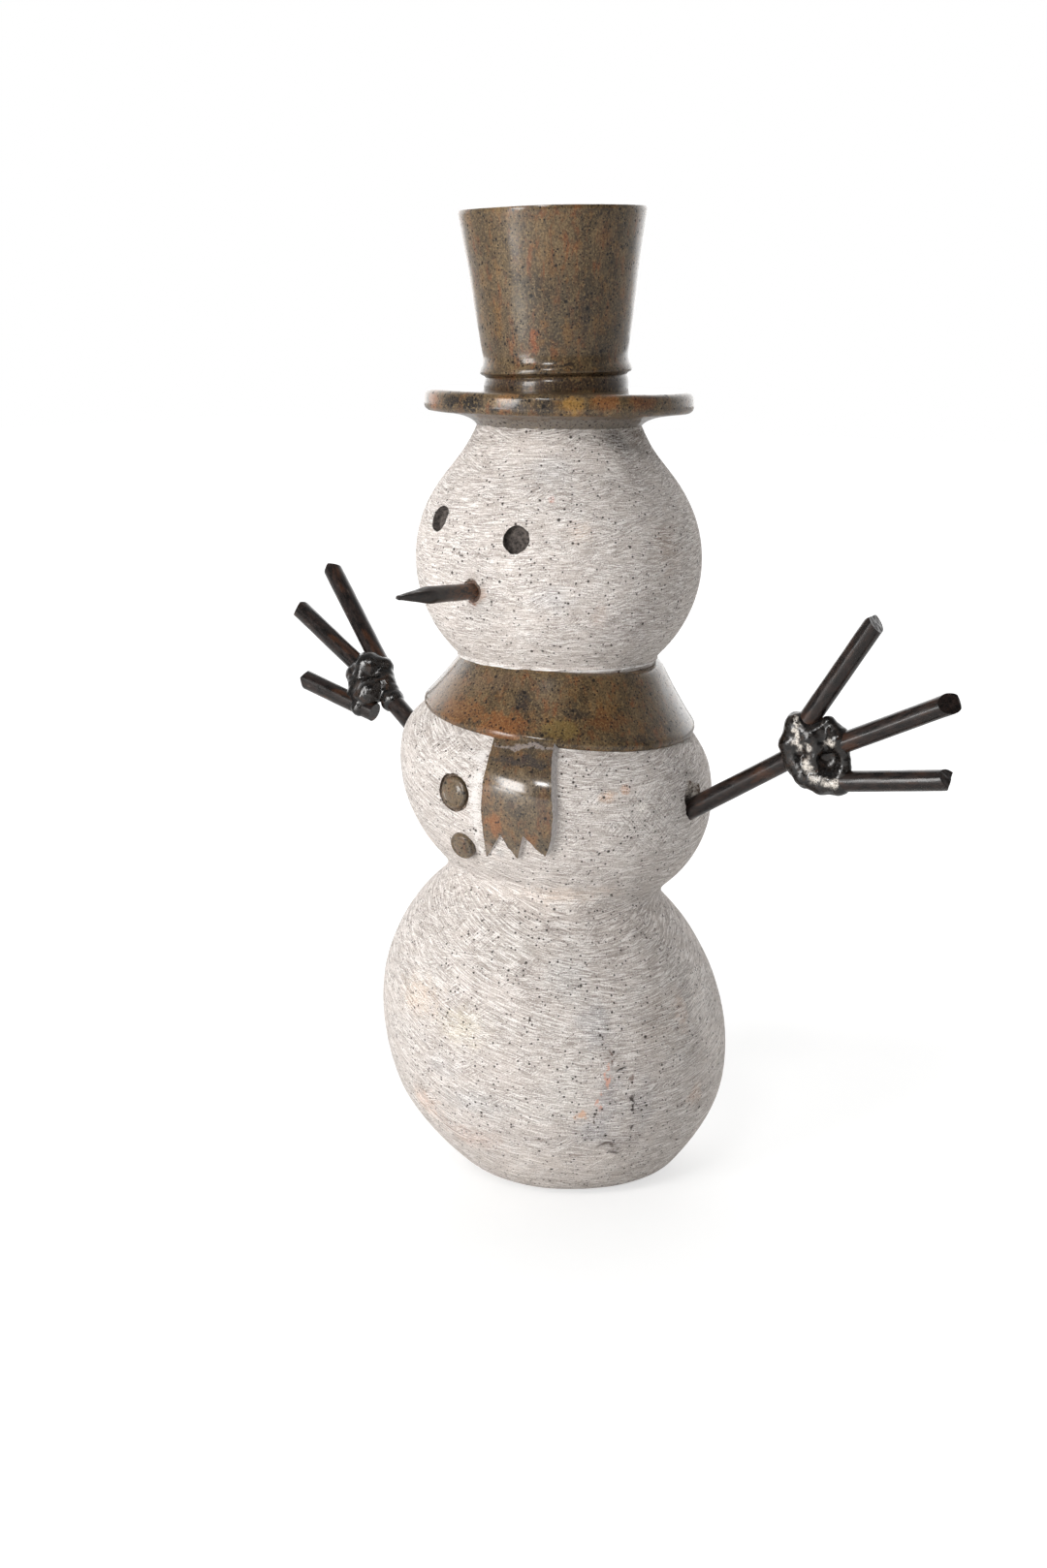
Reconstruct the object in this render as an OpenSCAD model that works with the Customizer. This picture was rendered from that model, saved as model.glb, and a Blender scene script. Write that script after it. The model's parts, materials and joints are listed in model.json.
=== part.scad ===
// Table-top snowman carved from one block of soft stone, with a nail nose and two
// steel-bar arms that sit in drilled sockets and turn about their own axis.
// The origin is the middle of the flat foot, +Z is up and the figure faces -Y,
// so its own left arm points along +X.

/* [Base ball] */
// Longest diameter of the base ball
base_long = 123; // [120:0.5:125]
// Front-to-back diameter of the base ball
base_deep = 116; // [112:0.5:118]
// Shortest diameter of the base ball
base_short = 106.8; // [104:0.2:109]
// Height of the middle of the base ball above the table
base_z = 47.9; // [46:0.1:49]
// Lean of the base ball's long axis
base_tilt = 59.9; // [55:0.1:65]

/* [Body ball] */
// Longest diameter of the body ball
body_long = 101.8; // [100:0.2:104]
// Front-to-back diameter of the body ball
body_deep = 100; // [98:0.2:102]
// Shortest diameter of the body ball
body_short = 85; // [84:0.2:87]
// Height of the middle of the body ball
body_z = 129.7; // [129:0.1:131]
// Lean of the body ball
body_tilt = 24.5; // [22:0.1:27]

/* [Head] */
// Longest diameter of the head
head_long = 89.6; // [88:0.2:91]
// Height of the head's ball, before the hat cuts it off
head_short = 84.4; // [83:0.2:86]
// Height of the middle of the head
head_z = 198.2; // [197.5:0.1:199]
// Lean of the head
head_tilt = 3.8; // [2:0.1:6]
// Diameter of each drilled eye
eye_d = 8.4; // [7:0.1:9]
// Depth of each drilled eye
eye_depth = 2.6; // [2:0.1:3.5]
// Distance from the nose line to each eye
eye_side = 15.6; // [14:0.1:17]
// Height of the figure's right eye
right_eye_z = 212.4; // [210:0.1:214]
// Height of the figure's left eye
left_eye_z = 207.6; // [206:0.1:210]

/* [Hat] */
// Height at which the polished hat begins
hat_z = 239; // [238.5:0.1:239.5]
// Diameter of the hat where it meets the head
hat_seat_d = 51.2; // [50.8:0.1:51.6]
// Diameter of the brim
brim_d = 83.4; // [80:0.2:86]
// Thickness of the brim's edge
brim_t = 6.6; // [6:0.1:7]
// Diameter of the crown at its narrow lower end
crown_low_d = 44.8; // [44:0.2:46]
// Diameter of the crown at its top
crown_top_d = 58; // [54:0.2:60]
// Height of the whole hat
hat_h = 65.9; // [62:0.1:68]
// Lean of the crown towards the figure's right
crown_tilt = 1.5; // [0:0.1:2]
// Lean of the brim towards the figure's left
brim_tilt = 0.8; // [0:0.1:1]

/* [Scarf] */
// Diameter of the neck that the scarf wraps
neck_d = 61.2; // [60.6:0.2:61.8]
// Height at which the scarf meets the neck
scarf_top_z = 167.8; // [167:0.1:168.4]
// Diameter over the scarf's rolled lower lip
scarf_d = 86; // [84:0.2:88]
// Height of the lip's middle, on average
scarf_lip_z = 149.6; // [149:0.1:151]
// Radius of the rolled lip
lip_r = 2.2; // [1.8:0.1:2.6]
// How far the middle of the scarf's tail stands proud of the body's surface
tail_proud = 1.3; // [1.1:0.1:1.6]

/* [Buttons] */
// Diameter of each carved button
button_d = 12; // [11:0.1:13]
// Width of the groove around each button
groove_w = 1.1; // [0.8:0.1:1.5]
// Depth of that groove
groove_depth = 1.2; // [1:0.1:1.5]

/* [Nose] */
// Diameter of the nail's shank
nose_d = 5; // [4.5:0.1:5.5]
// Length of nail that shows
nose_out = 35.5; // [30:0.5:40]
// Length of nail inside the head
nose_in = 18; // [14:0.5:20]
// Length of the ground point
nose_point = 15; // [12:0.5:18]
// Thickness of the adhesive around the nail
glue_t = 0.4; // [0.3:0.05:0.6]

/* [Arms] */
// Diameter of the round steel bar
bar_d = 6.35; // [6:0.05:6.5]
// Radial running clearance of a bar in its socket
socket_gap = 0.06; // [0.03:0.01:0.09]
// Depth of each socket below the body's surface
socket_depth = 25; // [20:0.5:28]
// Length of the left arm from its socket to the middle of the hand
left_reach = 45.2; // [43:0.1:48]
// Length of the right arm from its socket to the middle of the hand
right_reach = 43.9; // [42:0.1:46]

/* [Hidden] */
$fn = 96;

// The block leans a little towards this bearing, in degrees from the figure's left.
lean_az = 37;
// Offsets of each mass along that bearing, from the middle of the foot.
base_shift = -6.2;
body_shift = -5.9;
head_shift = -5.3;
brim_shift = -5.4;
crown_shift = -5.8;
body_centre = [body_shift * cos(lean_az), body_shift * sin(lean_az), body_z];
head_centre = [head_shift * cos(lean_az), head_shift * sin(lean_az), head_z];

bar_r = bar_d / 2;
socket_r = bar_r + socket_gap;
brim_r = brim_d / 2;
lip_ring_r = scarf_d / 2 - lip_r;
brim_top = 11.1;
tail_az = -69.2;

left_socket = [45, 1.2, 123.7];
left_az = 5.7;
left_el = 29.9;
right_socket = [-54.7, 1.5, 126.4];
right_az = 174;
right_el = 35.4;
// Turn of each hand's fan about its arm, from upright.
left_roll = 3;
right_roll = 38.6;

// Each finger: inner end along the arm and above it, its angle in the fan, its length.
left_fingers = [[0.5, 6.4, 25.5, 41.8], [10.5, -3.2, -6.1, 37.6], [-1, -11, -23.6, 40.4]];
right_fingers = [[-2, 4.3, 12, 48.2], [5, -0.7, -4.9, 36.8], [-11.7, -7.3, -21.1, 31.8]];
// Where each arm bar stops, short of the middle of its hand.
left_bar_stop = 3.4;
right_bar_stop = 4;

stone_grey = "#cfc8c0";
steel_black = "#3a3230";

// Places children on the leaning line of the block.
module leaning(shift, z, tilt = 0) {
    rotate([0, 0, lean_az]) translate([shift, 0, z]) rotate([0, tilt, 0]) children();
}

// Turns children so that their +Z points along a bearing and an elevation, with +X up.
module aim(az, el) {
    rotate([0, -el, az]) rotate([0, 90, 0]) rotate([0, 0, 180]) children();
}

module ball(long, deep, short) {
    scale([long / 2, deep / 2, short / 2]) sphere(r = 1);
}

module base_ball() {
    leaning(base_shift, base_z, base_tilt) ball(base_long, base_deep, base_short);
}

module body_ball(inset = 0) {
    leaning(body_shift, body_z, body_tilt)
        ball(body_long - 2 * inset, body_deep - 2 * inset, body_short - 2 * inset);
}

module head_ball() {
    leaning(head_shift, head_z, head_tilt) ball(head_long, head_long, head_short);
}

// Sloping shoulder that runs from inside the ball of the head to inside the hat.
module head_shoulder() {
    below = 16;
    above = 6;
    slope = 0.51;
    leaning(-5.1, hat_z - below)
        cylinder(r1 = hat_seat_d / 2 + slope * below, r2 = hat_seat_d / 2 - slope * above, h = below + above);
}

module neck() {
    leaning(head_shift, scarf_top_z - 6) cylinder(d = neck_d, h = 14);
}

// The scarf's own frame: it dips to the front and to the figure's left.
module scarf_frame() {
    leaning(-5, scarf_lip_z) rotate([4.5, 6.1, 0]) children();
}

// The scarf's cone and its rolled lip.
module scarf() {
    cone_h = scarf_top_z - scarf_lip_z;
    scarf_frame() {
        rotate_extrude() polygon([[0, -lip_r], [lip_ring_r, -lip_r], [lip_ring_r + lip_r * 0.7, lip_r * 0.7],
            [neck_d / 2 - 0.4, cone_h + 0.4], [0, cone_h + 0.4]]);
        rotate_extrude() translate([lip_ring_r, 0]) circle(r = lip_r);
    }
}

// The slope at which the body runs in under the scarf's lip.
module under_scarf(extra = 0) {
    slope_h = 110;
    scarf_frame() translate([0, 0, -slope_h])
        cylinder(r1 = lip_ring_r + extra + slope_h, r2 = lip_ring_r + extra, h = slope_h);
}

module body_under_scarf() {
    intersection() {
        body_ball();
        under_scarf();
    }
}

// Outline of the hanging tail, with its three points, seen square on.
module tail_outline() {
    polygon([[-7, 152], [10.6, 152], [10.9, 143], [12.1, 133], [12.2, 126], [11.6, 120], [10.2, 112.9],
        [4.1, 119.6], [1.1, 111.3], [-3.4, 119], [-9.7, 110.4], [-9.3, 126], [-8.8, 133], [-7.6, 142]]);
}

// Outline of the slope that runs down from the tail's left edge to the rasped surface.
module slope_outline() {
    polygon([[9.6, 152], [14, 152], [14.2, 143], [14.9, 135],
        [15.4, 126], [14.2, 120], [10.2, 112.7], [9.6, 116]]);
}

// Stands a flat outline up against the body at the tail's bearing.
module tail_prism() {
    translate([body_centre[0], body_centre[1], 0]) rotate([0, 0, tail_az]) rotate([90, 0, 90])
        translate([0, 0, 30]) linear_extrude(height = 40) children();
}

// The tail stands proud of the body's ball, more so on the figure's left, where its side is sloped.
module tail() {
    aside = 4.2;
    intersection() {
        tail_prism() tail_outline();
        translate([-aside * sin(tail_az), aside * cos(tail_az), 0]) body_ball(inset = -tail_proud);
        under_scarf(0.8);
    }
    intersection() {
        tail_prism() slope_outline();
        translate(body_centre) rotate([0, 0, tail_az]) translate([6.5, -28.2, 0]) sphere(r = 60);
        under_scarf(0.8);
    }
}

// A ring cut square to the body, which leaves a round button standing.
module button_groove(el, radius, groove_outer) {
    translate(body_centre) aim(-92, el) translate([0, 0, radius - groove_depth]) difference() {
        cylinder(r = groove_outer, h = 6);
        translate([0, 0, -1]) cylinder(r = groove_outer - groove_w, h = 8);
    }
}

// A blind drilled eye with the drill's shallow cone at its bottom.
module eye(side, z) {
    eye_y = -sqrt(pow(head_long / 2, 2) - pow(side, 2) - pow(z - head_z, 2));
    reach = head_long / 2;
    az = atan2(eye_y, side);
    el = asin((z - head_z) / reach);
    translate(head_centre) aim(az, el) translate([0, 0, reach - eye_depth]) {
        cylinder(d = eye_d, h = 8);
        translate([0, 0, -1]) cylinder(d1 = 0.6, d2 = eye_d, h = 1.001);
    }
}

module nose_frame() {
    translate(head_centre + [0.85, -44.2, -6.6]) aim(-88.7, 2.2) children();
}

// A drilled socket with a crumbled, flared mouth.
module socket(at, az, el) {
    translate(at) aim(az, el) {
        translate([0, 0, -socket_depth]) cylinder(r = socket_r, h = socket_depth + 20);
        translate([0, 0, -1.2]) cylinder(r1 = socket_r, r2 = socket_r + 11, h = 12.5);
    }
}

// Half section of the brim: seat, collar, flared underside and thick rounded edge.
module brim_section() {
    corner_r = 2;
    edge_low = brim_top - brim_t;
    inner_r = brim_r - corner_r;
    polygon([[0, -3], [hat_seat_d / 2 - 2, -3], [hat_seat_d / 2 - 0.5, -0.1], [hat_seat_d / 2 + 1.2, 1.9],
        [30.5, 3.3], [inner_r, edge_low], [inner_r, brim_top], [0, brim_top]]);
    translate([inner_r, edge_low + corner_r]) square([corner_r, brim_t - 2 * corner_r]);
    translate([inner_r, edge_low + corner_r]) circle(r = corner_r);
    translate([inner_r, brim_top - corner_r]) circle(r = corner_r);
}

// Half section of the crown: foot band, flared ring and tapering wall.
module crown_section() {
    foot_r = crown_low_d / 2;
    foot_top = brim_top + 4.9;
    translate([0, 7]) square([foot_r, foot_top - 7]);
    polygon([[0, foot_top - 1], [foot_r - 0.5, foot_top - 0.1], [foot_r + 1.3, foot_top + 0.8],
        [foot_r + 1.1, foot_top + 2], [foot_r + 0.2, foot_top + 4.4], [crown_top_d / 2, hat_h - 0.8],
        [crown_top_d / 2 - 0.8, hat_h], [0, hat_h]]);
}

module hat() {
    leaning(brim_shift, hat_z, brim_tilt) rotate_extrude() brim_section();
    leaning(crown_shift, hat_z, -crown_tilt) rotate_extrude() crown_section();
}

module stone_figure() {
    color(stone_grey) difference() {
        union() {
            base_ball();
            difference() {
                body_under_scarf();
                button_groove(1, 50, button_d / 2);
                button_groove(-19.8, 49.5, button_d / 2 - 0.6);
            }
            tail();
            neck();
            scarf();
            head_ball();
            head_shoulder();
            hat();
        }
        translate([-100, -100, -50]) cube([200, 200, 50]);
        eye(-eye_side, right_eye_z);
        eye(eye_side - 0.7, left_eye_z);
        nose_frame() translate([0, 0, -nose_in - glue_t]) cylinder(r = nose_d / 2 + glue_t, h = nose_in + 10);
        socket(left_socket, left_az, left_el);
        socket(right_socket, right_az, right_el);
    }
}

module nose_nail() {
    color("#4a3c33") nose_frame() {
        translate([0, 0, -nose_in]) cylinder(d = nose_d, h = nose_in + nose_out - nose_point);
        translate([0, 0, nose_out - nose_point]) cylinder(d1 = nose_d, d2 = 1.3, h = nose_point);
    }
}

// The adhesive that fills the drilled hole around and behind the nail.
module nose_glue() {
    color("#6b4a2c") nose_frame() translate([0, 0, -nose_in - glue_t]) difference() {
        cylinder(r = nose_d / 2 + glue_t, h = nose_in + glue_t - 1);
        translate([0, 0, glue_t]) cylinder(d = nose_d, h = nose_in + 1);
    }
}

// A round bar along +Z whose far end was cropped from two sides, leaving a ridge.
module cropped_bar(length) {
    difference() {
        cylinder(r = bar_r, h = length);
        for (side = [-1, 1])
            translate([0, 0, length - 0.4]) rotate([side * 38, 0, 0])
                translate([-bar_d, -bar_d, 0]) cube(2 * bar_d);
    }
}

// Children sit in a hand: +Z runs out along the arm, +X up in the plane of the fan.
module hand_frame(at, az, el, roll, reach) {
    translate(at) aim(az, el) rotate([0, 0, roll]) translate([0, 0, reach]) children();
}

module finger(spec) {
    translate([spec[1], 0, spec[0]]) rotate([0, spec[2], 0]) cropped_bar(spec[3]);
}

module finger_bore(spec) {
    translate([spec[1], 0, spec[0]]) rotate([0, spec[2], 0]) cylinder(r = bar_r, h = spec[3]);
}

module left_hand() {
    hand_frame(left_socket, left_az, left_el, left_roll, left_reach) children();
}

module right_hand() {
    hand_frame(right_socket, right_az, right_el, right_roll, right_reach) children();
}

// The arm bar, from just off the bottom of its socket to inside the weld.
module arm_bar(reach, stop) {
    buried = socket_depth - 0.5;
    translate([0, 0, -reach - buried]) cylinder(r = bar_r, h = reach + buried - stop);
}

// One lump of weld metal: place above the arm, place along it, radius.
module lump(up, along, radius) {
    translate([up, 0, along]) sphere(r = radius, $fn = 48);
}

module left_arm_rod() {
    color(steel_black) left_hand() arm_bar(left_reach, left_bar_stop);
}

module right_arm_rod() {
    color(steel_black) right_hand() arm_bar(right_reach, right_bar_stop);
}

module left_hand_weld() {
    color("#2b2725") left_hand() difference() {
        union() {
            lump(7.4, -0.3, 4.6);
            lump(3.5, -4.5, 4.6);
            lump(-0.9, -6.2, 4.5);
            lump(-6.5, -5, 4.7);
            lump(-10.4, -1.3, 4.6);
            lump(-13.2, 2.9, 3.8);
            lump(2.5, 2.1, 5);
            lump(-2.9, 1.3, 4.4);
            lump(-1.2, 9.3, 3.9);
            lump(-5.2, 8.9, 2.4);
            lump(-7.8, 8.1, 2.2);
            lump(-10, 6.7, 2.3);
        }
        arm_bar(left_reach, left_bar_stop);
        for (spec = left_fingers) finger_bore(spec);
    }
}

module right_hand_weld() {
    color("#2b2725") right_hand() difference() {
        union() {
            lump(1.6, 2.9, 5);
            lump(5.1, -0.6, 3.6);
            lump(-3.6, -5.4, 4.7);
            lump(-5, 0.2, 4);
            lump(-3.8, 5, 3.2);
            lump(-8.9, -2, 3.4);
            lump(-7.9, -7.9, 2.8);
            lump(1.5, -5.9, 4.2);
            lump(0, -12.4, 4);
        }
        arm_bar(right_reach, right_bar_stop);
        for (spec = right_fingers) finger_bore(spec);
    }
}

module left_finger(index) {
    color(steel_black) left_hand() finger(left_fingers[index]);
}

module right_finger(index) {
    color(steel_black) right_hand() finger(right_fingers[index]);
}

stone_figure();
nose_nail();
nose_glue();
left_arm_rod();
left_finger(0);  // left_upper_finger
left_finger(1);  // left_middle_finger
left_finger(2);  // left_lower_finger
left_hand_weld();
right_arm_rod();
right_finger(0);  // right_upper_finger
right_finger(1);  // right_middle_finger
right_finger(2);  // right_lower_finger
right_hand_weld();
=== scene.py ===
import json
import math

import bmesh
import bpy
import numpy as np
from mathutils import Matrix, Vector


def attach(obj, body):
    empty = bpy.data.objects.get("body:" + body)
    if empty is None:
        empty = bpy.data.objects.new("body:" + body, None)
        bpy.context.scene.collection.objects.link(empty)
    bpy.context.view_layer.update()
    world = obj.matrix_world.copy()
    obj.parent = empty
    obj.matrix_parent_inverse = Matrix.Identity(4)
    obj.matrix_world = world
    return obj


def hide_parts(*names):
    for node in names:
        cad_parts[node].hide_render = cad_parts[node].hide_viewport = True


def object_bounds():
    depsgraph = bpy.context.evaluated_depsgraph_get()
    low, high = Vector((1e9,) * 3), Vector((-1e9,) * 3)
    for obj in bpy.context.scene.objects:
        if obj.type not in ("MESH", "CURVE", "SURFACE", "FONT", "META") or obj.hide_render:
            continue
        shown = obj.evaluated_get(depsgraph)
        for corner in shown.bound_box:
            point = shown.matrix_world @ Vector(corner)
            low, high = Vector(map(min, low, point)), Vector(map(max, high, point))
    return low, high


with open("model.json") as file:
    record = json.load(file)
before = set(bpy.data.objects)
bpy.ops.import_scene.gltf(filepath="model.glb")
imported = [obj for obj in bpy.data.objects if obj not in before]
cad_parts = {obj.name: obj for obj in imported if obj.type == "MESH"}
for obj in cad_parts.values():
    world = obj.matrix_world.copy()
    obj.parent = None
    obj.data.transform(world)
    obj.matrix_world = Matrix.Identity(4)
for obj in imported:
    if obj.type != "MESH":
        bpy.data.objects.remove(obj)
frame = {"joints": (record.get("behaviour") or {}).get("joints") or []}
cad_low, cad_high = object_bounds()

# Geometry is worked out in millimetres and scaled when a mesh is made.
MM = 0.001

# Where each mass of the block sits on its leaning line: the same sizes as the CAD part's.
LEAN_AZ = 37.0
BASE_BALL = {"shift": -6.2, "z": 47.9, "tilt": 59.9, "size": (123.0, 116.0, 106.8)}
BODY_BALL = {"shift": -5.9, "z": 129.7, "tilt": 24.5, "size": (101.8, 100.0, 85.0)}
HEAD_BALL = {"shift": -5.3, "z": 198.2, "tilt": 3.8, "size": (89.6, 89.6, 84.4)}
HAT_Z = 239.0
BRIM_PLACE = {"shift": -5.4, "tilt": 0.8}
CROWN_PLACE = {"shift": -5.8, "tilt": -1.5}
HAT_SEAT_R = 25.6
NECK_R = 30.6
SCARF_LIP_Z = 149.6
SCARF_TURN = (4.5, 6.1)
LIP_RING_R = 40.8
LIP_R = 2.2
# The base ball draws in towards the foot, whose edge is rounded over.
FOOT_TUCK = 1.8
FOOT_ROUND = 5.0
# Heights between which the body and the head are swept; their ends lie inside the scarf and the hat.
BODY_TOP_Z = 157.0
HEAD_LOW_Z = 160.0
HEAD_TOP_Z = 241.5
BAR_R = 3.175
SOCKET_R = 3.235
SOCKET_DEPTH = 25.0
TAIL_AZ = -69.2
BUTTON_AZ = -92.0


# ------------------------------------------------------------------ vectors and noise

def turn(axis, degrees):
    """Rotation matrix about one axis, as the CAD's rotate does it."""
    return np.array(Matrix.Rotation(math.radians(degrees), 3, axis))


def lean_frame(shift, z, tilt=0.0):
    """(origin, rotation) of a place on the block's leaning line."""
    about = turn("Z", LEAN_AZ)
    return about @ np.array([shift, 0.0, z]), about @ turn("Y", tilt)


def aim(azimuth, elevation):
    """Rotation that points +Z along a bearing and an elevation, with +X up."""
    return turn("Z", azimuth) @ turn("Y", -elevation) @ turn("Y", 90.0) @ turn("Z", 180.0)


def place(points, origin, rotation):
    return points @ rotation.T + origin


def unplace(points, origin, rotation):
    return (points - origin) @ rotation


def on_axis(heights, origin, rotation):
    """Points on a placed piece's own axis."""
    return place(np.array([[0.0, 0.0, z] for z in heights]), origin, rotation)


def radial(points):
    """Unit directions away from a turned piece's own axis."""
    out = points * np.array([1.0, 1.0, 0.0])
    return out / np.maximum(np.linalg.norm(out, axis=1, keepdims=True), 1e-6)


def lattice(ix, iy, iz, seed):
    """A repeatable random number from -1 to 1 for each lattice point."""
    mixed = (ix * 374761393 + iy * 668265263 + iz * 1442695041 + seed * 974634777) & 0xFFFFFFFF
    mixed = ((mixed ^ (mixed >> 13)) * 1274126177) & 0xFFFFFFFF
    return ((mixed ^ (mixed >> 16)) & 0xFFFFFF) / float(0x7FFFFF) - 1.0


def value_noise(points, size, seed):
    q = points / size
    cell = np.floor(q).astype(np.int64)
    f = q - cell
    f = f * f * (3 - 2 * f)
    total = np.zeros(len(points))
    for dx in (0, 1):
        for dy in (0, 1):
            for dz in (0, 1):
                weight = np.abs(1 - dx - f[:, 0]) * np.abs(1 - dy - f[:, 1]) * np.abs(1 - dz - f[:, 2])
                total += weight * lattice(cell[:, 0] + dx, cell[:, 1] + dy, cell[:, 2] + dz, seed)
    return total


def fractal(points, size, seed, octaves=3):
    total = np.zeros(len(points))
    share = 1.0
    for octave in range(octaves):
        total += share * value_noise(points, size / 2 ** octave, seed + octave)
        share *= 0.5
    return total


def smooth_step(x, low, high):
    t = np.clip((x - low) / (high - low), 0.0, 1.0)
    return t * t * (3 - 2 * t)


# ------------------------------------------------------------------ implicit shapes

def ball(spec):
    origin, rotation = lean_frame(spec["shift"], spec["z"], spec["tilt"])
    return origin, rotation, np.array(spec["size"]) / 2


def ball_distance(points, origin, rotation, radii):
    local = unplace(points, origin, rotation)
    near = np.linalg.norm(local / radii, axis=1)
    slope = np.linalg.norm(local / radii ** 2, axis=1)
    return near * (near - 1) / np.maximum(slope, 1e-6)


def blend_union(a, b, width):
    h = np.clip(0.5 + 0.5 * (b - a) / width, 0.0, 1.0)
    return b + (a - b) * h - width * h * (1 - h)


def blend_cut(a, b, width):
    return -blend_union(-a, -b, width)


def scarf_frame():
    origin, rotation = lean_frame(-5.0, SCARF_LIP_Z)
    return origin, rotation @ turn("Y", SCARF_TURN[1]) @ turn("X", SCARF_TURN[0])


def hat_frame(part):
    return lean_frame(part["shift"], HAT_Z, part["tilt"])


def body_distance(points):
    """Base ball and body ball, run together at the waist, cut by the foot and under the scarf."""
    base = ball_distance(points, *ball(BASE_BALL))
    base += FOOT_TUCK * smooth_step(points[:, 2], 32.0, 6.0)
    body = ball_distance(points, *ball(BODY_BALL))
    local = unplace(points, *scarf_frame())
    slope = (np.hypot(local[:, 0], local[:, 1]) - LIP_RING_R + local[:, 2]) / math.sqrt(2)
    body = blend_cut(body, slope, 3.0)
    joined = blend_union(base, body, 5.5)
    return blend_cut(joined, -points[:, 2], FOOT_ROUND)


def head_distance(points):
    """The head's ball, the neck below it and the sloping shoulder below the hat."""
    head = ball_distance(points, *ball(HEAD_BALL))
    origin, rotation = lean_frame(HEAD_BALL["shift"], 0.0)
    local = unplace(points, origin, rotation)
    out = np.hypot(local[:, 0], local[:, 1])
    neck = np.maximum(out - NECK_R, local[:, 2] - 180.0)
    shoulder = (out - HAT_SEAT_R - 0.51 * (HAT_Z - local[:, 2])) / 1.12
    shoulder = np.maximum(shoulder, 223.0 - local[:, 2])
    return blend_union(blend_union(head, neck, 1.6), shoulder, 3.0)


def shoot(distance, origins, directions, reach):
    """How far each ray runs inside a shape before it leaves it."""
    near = np.zeros(len(origins))
    far = np.full(len(origins), reach)
    for _ in range(22):
        middle = (near + far) / 2
        inside = distance(origins + directions * middle[:, None]) < 0
        near = np.where(inside, middle, near)
        far = np.where(inside, far, middle)
    return near


# ------------------------------------------------------------------ meshes

def mesh_object(name, points, faces):
    mesh = bpy.data.meshes.new(name)
    mesh.from_pydata((points * MM).tolist(), [], faces)
    mesh.validate()
    made = bpy.data.objects.new(name, mesh)
    bpy.context.scene.collection.objects.link(made)
    return made


def ring_faces(rows, columns, first=0):
    """Quads between rings of points, wrapping round, as an array."""
    row, column = np.meshgrid(np.arange(rows - 1), np.arange(columns), indexing="ij")
    following = (column + 1) % columns
    a = row * columns + column
    b = row * columns + following
    return (np.stack([a, b, b + columns, a + columns], axis=-1).reshape(-1, 4) + first).tolist()


def capped_faces(rows, columns, first=0):
    """Faces of rings of points closed by two pole points stored right after them."""
    low = first + rows * columns
    last = first + (rows - 1) * columns
    faces = ring_faces(rows, columns, first)
    for column in range(columns):
        following = (column + 1) % columns
        faces.append((low, first + following, first + column))
        faces.append((low + 1, last + column, last + following))
    return faces


def ring_mesh(name, rings, bottom, top):
    """A closed surface from rings of points and one pole point at each end."""
    points = np.concatenate([rings.reshape(-1, 3), [bottom, top]])
    return mesh_object(name, points, capped_faces(*rings.shape[:2]))


def even_rows(path, spacing):
    """Fractions along a polyline that space points evenly."""
    steps = np.linalg.norm(np.diff(path, axis=0), axis=1)
    run = np.concatenate([[0.0], np.cumsum(steps)])
    count = max(3, int(round(run[-1] / spacing)) + 1)
    return np.interp(np.linspace(0, run[-1], count), run, np.arange(len(path)))


def resample(path, spacing):
    rows = even_rows(path, spacing)
    columns = [np.interp(rows, np.arange(len(path)), path[:, k]) for k in range(path.shape[1])]
    return np.stack(columns, axis=1)


def round_corners(path, passes=2):
    """Chaikin's corner cutting, which keeps the two ends."""
    for _ in range(passes):
        start = path[:-1] * 0.75 + path[1:] * 0.25
        end = path[:-1] * 0.25 + path[1:] * 0.75
        middle = np.stack([start, end], axis=1).reshape(-1, path.shape[1])
        path = np.concatenate([path[:1], middle, path[-1:]])
    return path


def lathe_rings(profile, columns):
    """Rings of points from a profile of (radius, height) rows."""
    angle = np.linspace(0, 2 * math.pi, columns, endpoint=False)
    x = profile[:, :1] * np.cos(angle)
    y = profile[:, :1] * np.sin(angle)
    z = np.repeat(profile[:, 1:], columns, axis=1)
    return np.stack([x, y, z], axis=-1)


def ring_normals(rings):
    """Rough outward normals of a grid of rings."""
    around = np.roll(rings, -1, axis=1) - np.roll(rings, 1, axis=1)
    along = np.gradient(rings, axis=0)
    normal = np.cross(around, along)
    return normal / np.maximum(np.linalg.norm(normal, axis=-1, keepdims=True), 1e-9)


def vertex_values(mesh, name, unit=1.0):
    values = np.zeros(len(mesh.vertices) * 3)
    mesh.vertices.foreach_get(name, values)
    return values.reshape(-1, 3) / unit


def apply_modifiers(thing):
    graph = bpy.context.evaluated_depsgraph_get()
    fresh = bpy.data.meshes.new_from_object(thing.evaluated_get(graph))
    old = thing.data
    thing.modifiers.clear()
    thing.data = fresh
    bpy.data.meshes.remove(old)


def combine(target, operation, cutters, crossing=False):
    """Boolean with each cutter in turn, then the cutters go; crossing is for a cutter that meets itself."""
    for cutter in cutters:
        step = target.modifiers.new("combine", "BOOLEAN")
        step.operation = operation
        step.solver = "EXACT"
        step.use_self = crossing
        step.material_mode = "TRANSFER"
        step.object = cutter
    apply_modifiers(target)
    for cutter in cutters:
        bpy.data.objects.remove(cutter)


def store_local(thing, local):
    """Keeps each point's place in the piece's own frame, in millimetres, for its material."""
    layer = thing.data.attributes.new("bar_place", "FLOAT_VECTOR", "POINT")
    layer.data.foreach_set("vector", local.astype(np.float32).ravel())


def dress(thing, body, node, degrees=38.0, material=None):
    """Gives a finished piece its shading and its CAD body, and hides the CAD part that it replaces."""
    thing.data.shade_smooth()
    thing.data.set_sharp_from_angle(angle=math.radians(degrees))
    if material is not None:
        thing.data.materials.append(material)
    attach(thing, body)
    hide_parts(node)


# ------------------------------------------------------------------ node graphs

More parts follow.
